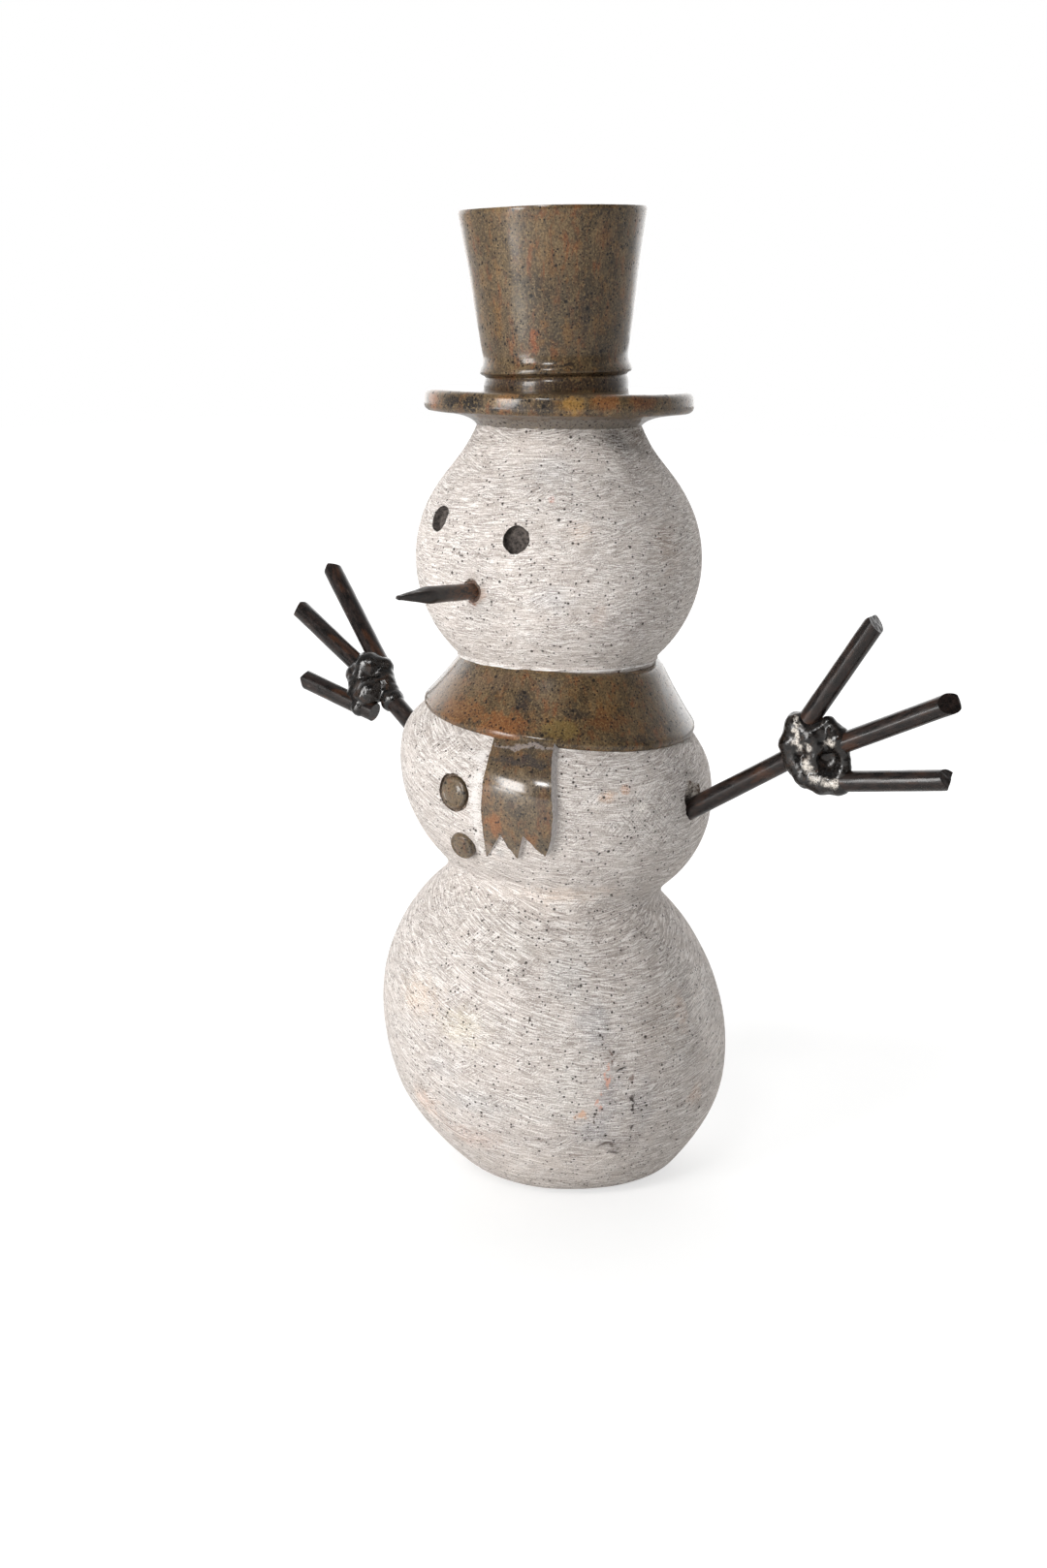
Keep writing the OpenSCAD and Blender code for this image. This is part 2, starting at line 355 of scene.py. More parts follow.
class Graph:
    """A material's node tree, built one value at a time."""

    def __init__(self, name):
        self.material = bpy.data.materials.new(name)
        self.material.use_nodes = True
        self.tree = self.material.node_tree
        self.tree.nodes.clear()
        self.point = self.node("ShaderNodeTexCoord").outputs["Object"]

    def node(self, kind, values=None, **settings):
        """A node with its settings, then its inputs' values or links by name or number."""
        made = self.tree.nodes.new(kind)
        for key, value in settings.items():
            setattr(made, key, value)
        for key, value in (values or {}).items():
            if isinstance(value, bpy.types.NodeSocket):
                self.tree.links.new(value, made.inputs[key])
            else:
                made.inputs[key].default_value = value
        return made

    def math(self, operation, a, b):
        return self.node("ShaderNodeMath", {0: a, 1: b}, operation=operation).outputs[0]

    def times(self, a, b):
        return self.math("MULTIPLY", a, b)

    def plus(self, a, b):
        return self.math("ADD", a, b)

    def vector(self, operation, *values):
        return self.node("ShaderNodeVectorMath", dict(enumerate(values)), operation=operation)

    def attribute(self, name, output):
        return self.node("ShaderNodeAttribute", attribute_name=name).outputs[output]

    def camera_ray(self):
        return self.node("ShaderNodeLightPath").outputs["Is Camera Ray"]

    def span(self, value, low, high, out_low=0.0, out_high=1.0, smooth=False):
        values = dict(enumerate((value, low, high, out_low, out_high)))
        kind = "SMOOTHSTEP" if smooth else "LINEAR"
        return self.node("ShaderNodeMapRange", values, interpolation_type=kind).outputs[0]

    def coords(self, size, direction=(0, 0, 1), offset=(0, 0, 0), point=None):
        """Object coordinates stretched to sizes in mm, the last one measured along direction."""
        sizes = (size,) * 3 if isinstance(size, float) else size
        unit = MM if point is None else 1.0
        values = {
            "Vector": self.point if point is None else point,
            "Location": offset,
            "Rotation": Vector(direction).to_track_quat("Z", "Y").to_euler(),
            "Scale": [s * unit for s in sizes],
        }
        return self.node("ShaderNodeMapping", values, vector_type="TEXTURE").outputs[0]

    def noise(self, where, detail=2.0, rough=0.5, twist=0.0):
        values = {"Vector": where, "Scale": 1.0, "Detail": detail, "Roughness": rough, "Distortion": twist}
        return self.node("ShaderNodeTexNoise", values).outputs["Fac"]

    def specks(self, where, radius, share):
        """Round specks: the share of the cells that hold one, and its radius in cell widths."""
        cells = self.node("ShaderNodeTexVoronoi", {"Vector": where, "Scale": 1.0})
        split = self.node("ShaderNodeSeparateColor", {0: cells.outputs["Color"]})
        chosen = self.math("LESS_THAN", split.outputs[0], share)
        size = self.span(split.outputs[1], 0.0, 1.0, radius * 0.45, radius)
        return self.times(chosen, self.span(cells.outputs["Distance"], size, self.times(size, 0.6)))

    def mix(self, factor, a, b):
        values = {"Factor": factor, "A": a, "B": b}
        return self.node("ShaderNodeMix", values, data_type="RGBA").outputs["Result"]

    def tint(self, colour, shade, mask, strength=None):
        """Lays a shade of 0-255 screen values over a colour where the mask is 1."""
        if strength is not None:
            mask = self.times(mask, strength)
        return self.mix(mask, colour, linear(*shade))

    def warped(self, size, amount):
        """The point moved about by a lattice of the given size, by up to the given amount, in mm."""
        stir = self.node("ShaderNodeTexNoise", {"Vector": self.coords(size), "Scale": 1.0})
        centred = self.vector("SUBTRACT", stir.outputs["Color"], (0.5, 0.5, 0.5)).outputs[0]
        return self.vector("MULTIPLY_ADD", centred, (4.0 * amount * MM,) * 3, self.point).outputs[0]

    def spot(self, centre, radii, soft=0.6, wobble=None, point=None):
        """1 inside an ellipsoid given in mm, fading to 0 outside it."""
        values = {
            "Vector": self.point if point is None else point,
            "Location": [c * MM for c in centre],
            "Scale": [r * MM for r in radii],
        }
        local = self.node("ShaderNodeMapping", values, vector_type="TEXTURE").outputs[0]
        reach = self.vector("LENGTH", local).outputs["Value"]
        if wobble is not None:
            reach = self.plus(reach, self.times(self.math("SUBTRACT", wobble, 0.5), 1.6))
        return self.span(reach, 1.0, 1.0 - soft, smooth=True)

    def bump(self, height, depth, strength=1.0, below=None):
        values = {"Strength": strength, "Distance": depth * MM, "Height": height}
        if below is not None:
            values["Normal"] = below
        return self.node("ShaderNodeBump", values).outputs[0]

    def finish(self, colour, roughness, normal=None, coat=0.0, coat_roughness=0.1, **more):
        values = {"Base Color": colour, "Roughness": roughness, "Coat Weight": coat}
        values["Coat Roughness"] = coat_roughness
        if normal is not None:
            values["Normal"] = normal
        for name, value in more.items():
            values[name.replace("_", " ")] = value
        surface = self.node("ShaderNodeBsdfPrincipled", values)
        self.node("ShaderNodeOutputMaterial", {"Surface": surface.outputs[0]})
        return self.material


def linear(red, green, blue):
    """A colour given as 0-255 screen values."""
    parts = [c / 255 for c in (red, green, blue)]
    return [p / 12.92 if p <= 0.04045 else ((p + 0.055) / 1.055) ** 2.4 for p in parts] + [1.0]


# The level direction from the figure to the camera and its right, which patches are placed by.
CAMERA_AZ = -53.0
FACING = (math.cos(math.radians(CAMERA_AZ)), math.sin(math.radians(CAMERA_AZ)), 0.0)
RIGHT = (-FACING[1], FACING[0], 0.0)


def mixed_direction(right, facing, up):
    parts = [right * RIGHT[k] + facing * FACING[k] + up * (k == 2) for k in range(3)]
    return Vector(parts).normalized()


def stroke_layer(graph, direction, across, length, offset, mask=None):
    """Rasp strokes in one direction: (light lines, dark lines, height)."""
    grain = graph.noise(graph.coords((length, length, across), direction, offset), detail=2.0, rough=0.55)
    light = graph.span(grain, 0.55, 0.61)
    dark = graph.span(grain, 0.45, 0.39)
    height = graph.span(grain, 0.35, 0.65)
    if mask is not None:
        light = graph.times(light, mask)
        dark = graph.times(dark, mask)
        height = graph.span(mask, 0.0, 1.0, 0.5, height)
    return light, dark, height


def add_layers(graph, layers):
    light, dark, height = layers[0]
    for more_light, more_dark, more_height in layers[1:]:
        light = graph.math("MAXIMUM", light, more_light)
        dark = graph.math("MAXIMUM", dark, more_dark)
        height = graph.plus(height, more_height)
    return light, dark, height


def stroke_mask(graph, seed, low, high, place_mm=None):
    """Where a layer of strokes shows: scattered patches, or one place on the block."""
    area = graph.noise(graph.coords((11.0, 11.0, 8.0), offset=(seed * 0.37, 0.2, 0.1)), detail=1.0)
    if place_mm is None:
        return graph.span(area, low, high)
    return graph.spot(place_mm[0], place_mm[1], 0.4, area)


def rasped_stone(name, strokes, tints, stains, ridge=False):
    """Soft grey stone left from the rasp: fine strokes, black specks and tinted patches, some of which are
    painted light and painted shade.
    """
    graph = Graph(name)
    patch = graph.noise(graph.coords((9.0, 9.0, 7.0)), detail=3.0)
    colour = graph.mix(graph.span(patch, 0.35, 0.65), linear(186, 177, 171), linear(202, 193, 187))
    # Some of these tint patches are painted light and painted shade: the base lightened, the torso and the
    # head darkened on their right.
    for centre, radii, shade, strength in tints:
        where = graph.coords(3.2, offset=(centre[0] * 0.01, 0.0, 0.0))
        ragged = graph.noise(where, detail=4.0, rough=0.66)
        colour = graph.tint(colour, shade, graph.spot(centre, radii, 0.85, ragged), strength)
    layers = []
    for direction, across, length, seed, low, high, place_mm in strokes:
        mask = None if low is None else stroke_mask(graph, seed, low, high, place_mm)
        layers.append(stroke_layer(graph, direction, across, length, (seed * 0.11, 0.07, 0.03), mask))
    light, dark, height = add_layers(graph, layers)
    colour = graph.tint(colour, (252, 249, 246), light, 0.62)
    colour = graph.tint(colour, (128, 118, 112), dark, 0.54)
    grit = graph.noise(graph.coords(0.40), detail=2.0, rough=0.6)
    colour = graph.tint(colour, (112, 101, 94), graph.span(grit, 0.58, 0.68, 0.0, 0.60))
    colour = graph.tint(colour, (254, 252, 249), graph.span(grit, 0.42, 0.33, 0.0, 0.60))
    moved = graph.warped(3.0, 1.3)
    for centre, radii, shade, strength in stains:
        colour = graph.tint(colour, shade, graph.spot(centre, radii, 0.6, grit, moved), strength)
    small = graph.specks(graph.coords(1.5), 0.30, 0.70)
    large = graph.specks(graph.coords(3.6, offset=(0.4, 0.1, 0.2)), 0.18, 0.50)
    pits = graph.math("MAXIMUM", small, large)
    colour = graph.tint(colour, (40, 33, 29), pits, 0.90)
    if ridge:
        chipped = graph.attribute("ridge", "Fac")
        colour = graph.tint(colour, (255, 253, 251), graph.span(chipped, 0.25, 0.6))
    normal = graph.bump(height, 0.14, 0.55)
    normal = graph.bump(graph.math("SUBTRACT", graph.times(grit, 0.5), pits), 0.25, 0.6, normal)
    return graph.finish(colour, graph.span(patch, 0.3, 0.7, 0.82, 0.95), normal, Specular_IOR_Level=0.25)


def polished_stone(name, stains, grey=0.0, wax=0.5):
    """The same stone, polished and waxed: olive brown with rust streaks, grey clouds and black specks."""
    graph = Graph(name)
    cloud = graph.noise(graph.coords((7.0, 7.0, 13.0)), detail=4.0, rough=0.62)
    where = graph.coords((2.4, 2.4, 8.0), offset=(0.3, 0.2, 0.0))
    streak = graph.noise(where, detail=4.0, rough=0.68, twist=0.4)
    fine = graph.noise(graph.coords((0.55, 0.55, 0.7)), detail=3.0, rough=0.7)
    mottle = graph.noise(graph.coords((1.7, 1.7, 2.2), offset=(0.5, 0.0, 0.3)), detail=3.0, rough=0.65)
    colour = graph.mix(graph.span(cloud, 0.38, 0.62), linear(64, 51, 35), linear(98, 80, 56))
    colour = graph.tint(colour, (42, 34, 25), graph.span(mottle, 0.52, 0.64, 0.0, 0.30))
    colour = graph.tint(colour, (122, 104, 76), graph.span(mottle, 0.48, 0.36, 0.0, 0.30))
    rust = graph.times(graph.span(streak, 0.53, 0.64), graph.span(cloud, 0.36, 0.54))
    colour = graph.tint(colour, (116, 62, 26), rust, 0.62)
    where = graph.coords((5.0, 5.0, 7.0), offset=(0.1, 0.5, 0.2))
    golden = graph.span(graph.noise(where, detail=4.0, rough=0.65), 0.54, 0.64)
    colour = graph.tint(colour, (122, 86, 46), golden, 0.45)
    where = graph.coords((5.0, 5.0, 11.0), offset=(0.7, 0.1, 0.4))
    ash = graph.span(graph.noise(where, detail=4.0, rough=0.68), 0.56, 0.66)
    colour = graph.tint(colour, (54, 48, 38), ash, 0.62)
    moved = graph.warped(4.0, 1.2)
    # Some of these patches are painted light: a painted shadow and a painted highlight on the tail, painted
    # shade in the collar under the brim.
    for centre, radii, shade, strength in stains:
        colour = graph.tint(colour, shade, graph.spot(centre, radii, 0.5, mottle, moved), strength)
    colour = graph.tint(colour, (30, 23, 17), graph.span(fine, 0.53, 0.63, 0.0, 0.60))
    colour = graph.tint(colour, (160, 134, 92), graph.span(fine, 0.46, 0.36, 0.0, 0.38))
    colour = graph.mix(grey, colour, linear(104, 96, 88))
    small = graph.specks(graph.coords(1.1), 0.38, 0.8)
    large = graph.specks(graph.coords(2.9, offset=(0.2, 0.3, 0.5)), 0.26, 0.8)
    pits = graph.math("MAXIMUM", small, large)
    colour = graph.tint(colour, (14, 10, 8), pits, 0.92)
    rings = graph.noise(graph.coords((14.0, 14.0, 0.35), offset=(0.0, 0.6, 0.0)), detail=1.0)
    height = graph.plus(graph.times(rings, 0.5), graph.times(fine, 0.5))
    normal = graph.bump(height, 0.04, 0.25)
    normal = graph.bump(graph.math("SUBTRACT", 0.0, pits), 0.15, 0.5, normal)
    rough = graph.plus(graph.span(cloud, 0.3, 0.7, 0.34, 0.44), graph.times(pits, 0.4))
    return graph.finish(colour, rough, normal, coat=wax, coat_roughness=0.15, Specular_IOR_Level=0.22)


def bar_steel(name):
    """Round mild-steel bar under dark lacquer: draw lines, rust showing through and dull spots."""
    graph = Graph(name)
    local = graph.attribute("bar_place", "Vector")
    lines = graph.noise(graph.coords((0.35, 0.35, 14.0), point=local), detail=2.0)
    scale = graph.noise(graph.coords((1.3, 1.3, 4.0), point=local), detail=4.0, rough=0.65)
    blot = graph.noise(graph.coords((3.2, 3.2, 9.0), point=local, offset=(3.0, 1.0, 0.0)), detail=3.0)
    colour = graph.mix(graph.span(scale, 0.4, 0.62), linear(16, 12, 11), linear(38, 27, 23))
    colour = graph.tint(colour, (72, 44, 27), graph.span(blot, 0.54, 0.68, 0.0, 0.6))
    colour = graph.tint(colour, (112, 104, 98), graph.span(scale, 0.66, 0.74, 0.0, 0.30))
    height = graph.plus(graph.times(lines, 0.6), graph.times(scale, 0.7))
    normal = graph.bump(height, 0.06, 0.35)
    rough = graph.span(scale, 0.35, 0.7, 0.24, 0.46)
    return graph.finish(colour, rough, normal, coat=0.30, coat_roughness=0.10, Specular_IOR_Level=0.25)


def weld_steel(name, powder):
    """Blobbed weld metal under lacquer, with white flux left in its hollows."""
    graph = Graph(name)
    skin = graph.noise(graph.coords(1.6), detail=4.0, rough=0.6)
    ripple = graph.noise(graph.coords(4.0, offset=(0.2, 0.0, 0.1)), detail=2.0, twist=1.2)
    grain = graph.noise(graph.coords(0.5), detail=2.0, rough=0.7)
    colour = graph.mix(graph.span(skin, 0.4, 0.62), linear(10, 9, 9), linear(30, 25, 22))
    colour = graph.tint(colour, (60, 40, 27), graph.span(ripple, 0.56, 0.70, 0.0, 0.5))
    flux = None
    moved = graph.warped(2.2, 1.0)
    for centre, radii, strength in powder:
        mask = graph.times(graph.spot(centre, radii, 0.6, grain, moved), strength)
        flux = mask if flux is None else graph.math("MAXIMUM", flux, mask)
    crumbly = graph.plus(graph.times(grain, 0.7), graph.times(skin, 0.3))
    broken = graph.span(crumbly, 0.40, 0.54)
    dusty = graph.times(flux, broken) if flux is not None else 0.0
    colour = graph.mix(dusty, colour, linear(226, 218, 208))
    normal = graph.bump(graph.plus(skin, graph.times(grain, 0.3)), 0.25, 0.45)
    rough = graph.span(skin, 0.35, 0.7, 0.12, 0.36)
    if flux is not None:
        rough = graph.math("MAXIMUM", rough, graph.times(dusty, 0.9))
    return graph.finish(colour, rough, normal, coat=0.22, coat_roughness=0.08, Specular_IOR_Level=0.4)


def nail_steel(name):
    """Dark nail, browner and rustier at its root, with grinder facets at its point."""
    graph = Graph(name)
    local = graph.attribute("bar_place", "Vector")
    split = graph.node("ShaderNodeSeparateXYZ", {0: local})
    root = graph.span(split.outputs["Z"], 17.0, 0.0)
    rust = graph.noise(graph.coords((0.9, 0.9, 1.6), point=local), detail=4.0, rough=0.65)
    lines = graph.noise(graph.coords((0.3, 0.3, 9.0), point=local), detail=2.0)
    colour = graph.mix(graph.span(rust, 0.4, 0.62), linear(20, 17, 16), linear(44, 34, 30))
    rooted = graph.times(root, graph.span(rust, 0.36, 0.6))
    colour = graph.tint(colour, (112, 72, 46), rooted, 0.9)
    height = graph.plus(graph.times(lines, 0.5), rust)
    rough = graph.plus(graph.span(rust, 0.3, 0.7, 0.28, 0.5), graph.times(root, 0.15))
    return graph.finish(colour, rough, graph.bump(height, 0.12, 0.5), coat=0.25, Metallic=0.3)


def plain_rough(name, dark, light, size, roughness=0.9):
    """Broken stone or old adhesive seen inside a hole."""
    graph = Graph(name)
    grain = graph.noise(graph.coords(size), detail=4.0, rough=0.65)
    colour = graph.mix(graph.span(grain, 0.38, 0.62), linear(*dark), linear(*light))
    return graph.finish(colour, roughness, graph.bump(grain, 0.3, 0.8))


# ------------------------------------------------------------------ the carved block

def carved(points, outward, depth, seed):
    """Long shallow unevenness and small chatter, as rasped stone has."""
    slow = fractal(points, 22.0, seed, 2) * depth
    quick = fractal(points, 4.5, seed + 7, 2) * depth * 0.16
    return points + outward * (slow + quick)[:, None]


def swept_surface(distance, origins, directions, columns, spacing, reach):
    """Rings found by shooting rays out from the block's own line, evenly spaced along its outline."""
    side = [math.radians(a) for a in (0, 120, 240)]
    paths = []
    for angle in side:
        rays = directions(angle)
        hits = shoot(distance, origins, rays, reach)
        paths.append(origins + rays * hits[:, None])
    mean = np.concatenate(paths, axis=1)
    rows = even_rows(mean / math.sqrt(3.0), spacing)
    index = np.arange(len(origins))
    centre = np.stack([np.interp(rows, index, origins[:, k]) for k in range(3)], axis=1)
    angles = np.linspace(0, 2 * math.pi, columns, endpoint=False)
    rings = np.zeros((len(rows), columns, 3))
    outward = np.zeros_like(rings)
    for number, angle in enumerate(angles):
        rays = directions(angle)
        rays = np.stack([np.interp(rows, index, rays[:, k]) for k in range(3)], axis=1)
        outward[:, number] = rays / np.linalg.norm(rays, axis=1, keepdims=True)
        rings[:, number] = centre
    flat = outward.reshape(-1, 3)
    start = rings.reshape(-1, 3)
    hits = shoot(distance, start, flat, reach)
    return start + flat * hits[:, None], flat, (len(rows), columns)


def build_body():
    base_origin = ball(BASE_BALL)[0]
    steps = 400
    low = np.radians(np.linspace(-89.5, 0.0, steps))
    heights = np.linspace(base_origin[2], BODY_TOP_Z, steps)[1:]
    line = np.repeat(base_origin[None], steps - 1, axis=0)
    line[:, 2] = heights
    origins = np.concatenate([np.repeat(base_origin[None], steps, axis=0), line])

    def directions(angle):
        across = np.cos(low)
        lower = np.stack([across * math.cos(angle), across * math.sin(angle), np.sin(low)], axis=1)
        upper = np.repeat([[math.cos(angle), math.sin(angle), 0.0]], steps - 1, axis=0)
        return np.concatenate([lower, upper])

    points, outward, shape = swept_surface(body_distance, origins, directions, 366, 0.90, 85.0)
    points = carved(points, outward, 0.22, 11)
    points[:, 2] = np.maximum(points[:, 2], 0.0)
    points[:, 1] = np.minimum(points[:, 1], cad_high[1] / MM - 0.02)
    rings = points.reshape(shape + (3,))
    bottom = [base_origin[0], base_origin[1], 0.0]
    top = [base_origin[0], base_origin[1], BODY_TOP_Z]
    return ring_mesh("rasped_body", rings, bottom, top)


SCARF_CONE = [(42.4, 1.6), (41.3, 2.8), (38.9, 6.0), (36.2, 9.9), (33.8, 13.6), (31.9, 16.8),
              (30.7, 18.6), (29.8, 19.3)]


def ridge_weight(points):
    """1 along the chipped ridge where the rasped head meets the polished scarf."""
    local = unplace(points, *scarf_frame())
    radii, heights = np.array(SCARF_CONE).T
    cone = np.interp(local[:, 2], heights, radii) - 1.2 * np.maximum(local[:, 2] - heights[-1], 0.0)
    gap = np.hypot(local[:, 0], local[:, 1]) - cone + 0.35 * fractal(points, 5.0, 71, 2)
    ragged = 0.72 + 0.42 * fractal(points, 2.0, 91, 3)
    return np.clip(np.exp(-((gap - 0.35) / 0.62) ** 2) * ragged, 0.0, 1.0)


def build_head():
    axis = ball(HEAD_BALL)[0]
    steps = 500
    heights = np.linspace(HEAD_LOW_Z, HEAD_TOP_Z, steps)
    origins = np.stack([np.full(steps, axis[0]), np.full(steps, axis[1]), heights], axis=1)

    def directions(angle):
        return np.repeat([[math.cos(angle), math.sin(angle), 0.0]], steps, axis=0)

    points, outward, shape = swept_surface(head_distance, origins, directions, 400, 0.54, 60.0)
    points = carved(points, outward, 0.16, 31)
    points += outward * (0.75 * ridge_weight(points))[:, None]
    crown = smooth_step(points[:, 2], HAT_Z - 2.6, HAT_Z - 0.6)
    points += outward * (crown * 0.25 * fractal(points, 1.8, 47, 2))[:, None]
    rings = points.reshape(shape + (3,))
    return ring_mesh("rasped_head", rings, [axis[0], axis[1], HEAD_LOW_Z], [axis[0], axis[1], HEAD_TOP_Z])


def lathe_piece(name, corners, columns, spacing, origin, rotation, wobble, seed, passes=2):
    """A turned shape whose profile runs from the axis at the bottom to the axis at the top."""
    profile = resample(round_corners(np.array(corners, float), passes), spacing)[1:-1]
    rings = lathe_rings(profile, columns)
    normals = ring_normals(rings).reshape(-1, 3)
    points = rings.reshape(-1, 3)
    slow = fractal(points, 24.0, seed, 2) * wobble + fractal(points, 5.0, seed + 5, 2) * wobble * 0.12
    points = points + normals * slow[:, None]
    points = place(points, origin, rotation)
    ends = on_axis([corners[0][1], corners[-1][1]], origin, rotation)
    return ring_mesh(name, points.reshape(rings.shape), *ends)


def arc(centre, radius, start, end, count=9):
    angles = np.radians(np.linspace(start, end, count))
    return [(centre[0] + radius * math.cos(a), centre[1] + radius * math.sin(a)) for a in angles]


def build_brim():
    edge = arc((39.7, 6.5), 2.0, -75.0, 0.0, 6) + arc((39.7, 9.1), 2.0, 0.0, 78.0, 6)
    corners = [(0, -2.6), (18, -2.6), (23.0, -2.6), (24.7, -1.2), (25.2, -0.1), (25.9, 1.0),
               (27.4, 2.1), (30.5, 3.3), (35.0, 4.0), (38.4, 4.4)]
    corners += edge + [(36.0, 11.15), (28.0, 11.1), (12.0, 11.1), (0, 11.1)]
    return lathe_piece("polished_brim", corners, 320, 0.7, *hat_frame(BRIM_PLACE), 0.20, 51, 1)


def build_crown():
    """Foot band, groove, flared ring and tapering wall."""
    corners = [(0, 8.0), (18, 8.0), (22.4, 8.0), (22.4, 11.2), (22.55, 13.0), (22.4, 14.7),
               (21.9, 15.3), (21.9, 15.8), (22.8, 16.1), (23.5, 16.5), (23.7, 17.2), (23.4, 18.2),
               (22.8, 19.4), (22.5, 20.8), (22.6, 22.6), (23.5, 28.0), (25.9, 46.0), (28.3, 61.0),
               (28.9, 64.6), (29.0, 65.3), (28.6, 65.75), (26.0, 65.8), (12.0, 65.8), (0, 65.8)]
    return lathe_piece("polished_crown", corners, 300, 0.7, *hat_frame(CROWN_PLACE), 0.15, 53, 1)


def build_scarf():
    lip = arc((LIP_RING_R, 0.0), LIP_R, -120.0, 45.0, 9)
    corners = [(0, -3.0), (20, -3.0), (36.0, -2.6)] + lip + SCARF_CONE[1:-1]
    corners += [(29.6, 19.3), (27.0, 19.4), (0, 19.4)]
    return lathe_piece("polished_scarf", corners, 330, 0.75, *scarf_frame(), 0.22, 61, 1)


# ------------------------------------------------------------------ cuts in the block

# The hanging tail's outline in its own plane: across, height, and how far its side slopes out at its foot.
TAIL_OUTLINE = [
    (-7.0, 153.0, 0.0), (10.9, 153.0, 0.9), (11.6, 143.0, 0.9), (13.2, 135.5, 0.8), (13.8, 126.0, 0.8),
    (13.1, 120.0, 0.7), (11.7, 115.5, 0.5), (10.4, 112.9, 0.2), (7.4, 116.0, 0.1), (4.2, 119.6, 0.3),
    (2.8, 115.6, 0.5), (1.2, 111.3, 0.2), (-1.2, 115.1, 0.1), (-3.4, 119.0, 0.2), (-6.3, 114.9, 0.4),
    (-9.7, 110.4, 0.2), (-9.5, 116.0, 0.0), (-9.4, 121.5, 0.0), (-9.3, 127.7, 0.0), (-8.8, 133.0, 0.0),
    (-8.3, 137.5, 0.0), (-7.7, 142.0, 0.0), (-7.5, 147.0, 0.0),
]


def tail_axes():
    """Across, up and outward directions of the tail's plane, and its origin."""
    out = turn("Z", TAIL_AZ) @ np.array([1.0, 0.0, 0.0])
    across = turn("Z", TAIL_AZ) @ np.array([0.0, 1.0, 0.0])
    origin = ball(BODY_BALL)[0] * np.array([1.0, 1.0, 0.0])
    return origin, across, out


def tail_point(across_mm, height, out_mm):
    origin, across, out = tail_axes()
    flat = np.asarray(out_mm)[..., None] * out + np.asarray(across_mm)[..., None] * across + origin
    return flat + np.asarray(height)[..., None] * np.array([0.0, 0.0, 1.0])


def tail_trim(material):
    """The cutter that gives the tail its outline, with walls that slope out where the side does."""
    corners = np.array(TAIL_OUTLINE)
    fine = resample(np.concatenate([corners, corners[:1]]), 0.5)[:-1]
    ragged = 0.12 * fractal(np.column_stack([fine[:, :2], np.zeros(len(fine))]), 1.6, 5, 2)
    across = fine[:, 0] + ragged
    height = fine[:, 1] + ragged
    foot = across + fine[:, 2]
    count = len(fine)
    low_out = body_front(foot, height) - 0.1
    high_out = body_front(across, height) + tail_rise(across, height) - 0.1
    rings = [tail_point(foot, height, np.full(count, 36.0)), tail_point(foot, height, low_out),
             tail_point(across, height, np.maximum(high_out, low_out + 0.05)),
             tail_point(across, height, np.full(count, 60.0))]
    faces = ring_faces(len(rings), count)
    faces += [tuple(range(count)), tuple(range(len(rings) * count - 1, (len(rings) - 1) * count - 1, -1))]
    made = mesh_object("trim", np.concatenate(rings), faces)
    made.data.materials.append(material)
    fix_normals(made)
    return made


def fix_normals(thing):
    """Turns every face of a closed mesh outwards."""
    work = bmesh.new()
    work.from_mesh(thing.data)
    bmesh.ops.recalc_face_normals(work, faces=work.faces)
    work.to_mesh(thing.data)
    work.free()
    thing.data.update()


def body_front(across_mm, height):
    """How far out the body ball's surface is, over the tail's plane."""
    out = tail_axes()[2]
    start = tail_point(across_mm, height, np.zeros(len(across_mm)))
    rays = np.repeat(out[None], len(start), axis=0)
    return shoot(body_distance, start, rays, 80.0)


def tail_rise(across_mm, height):
    """How far the tail's swelling, polished face stands proud of the body around it."""
    lift = 0.3 + 0.117 * np.clip(across_mm + 9.5, 0.0, None)
    swell = 0.4 * np.exp(-((across_mm - 8.0) / 9.0) ** 2 - ((height - 132.0) / 14.0) ** 2)
    tucked = 1.0 - 0.5 * smooth_step(height, 143.0, 150.0)
    return (lift + swell) * tucked


def build_tail(materials):
    """A block with the tail's swelling face, cut to the outline with its three points."""
    spacing = 0.42
    across = np.arange(-12.0, 18.0 + spacing, spacing)
    heights = np.arange(108.5, 151.0 + spacing, spacing)
    grid_a, grid_h = np.meshgrid(across, heights)
    flat_a, flat_h = grid_a.ravel(), grid_h.ravel()
    front = body_front(flat_a, flat_h) + tail_rise(flat_a, flat_h)
    face = tail_point(flat_a, flat_h, front)
    face += tail_axes()[2] * (fractal(face, 12.0, 83, 2) * 0.015)[:, None]
    back = tail_point(flat_a, flat_h, np.full(len(flat_a), 35.0))
    rows, columns = grid_a.shape
    count = rows * columns
    faces = []
    for row in range(rows - 1):
        for column in range(columns - 1):
            a = row * columns + column
            faces.append((a, a + 1, a + columns + 1, a + columns))
            faces.append((count + a + columns, count + a + columns + 1, count + a + 1, count + a))
    rim = list(range(columns))
    rim += [row * columns + columns - 1 for row in range(1, rows)]
    rim += [(rows - 1) * columns + column for column in range(columns - 2, -1, -1)]
    rim += [row * columns for row in range(rows - 2, 0, -1)]
    for index, point in enumerate(rim):
        following = rim[(index + 1) % len(rim)]
        faces.append((point, count + point, count + following, following))
    slab = mesh_object("scarf_tail", np.concatenate([face, back]), faces)
    fix_normals(slab)
    slab.data.materials.append(materials["polished_tail"])
    combine(slab, "INTERSECT", [tail_trim(materials["side"])], crossing=True)
    return slab


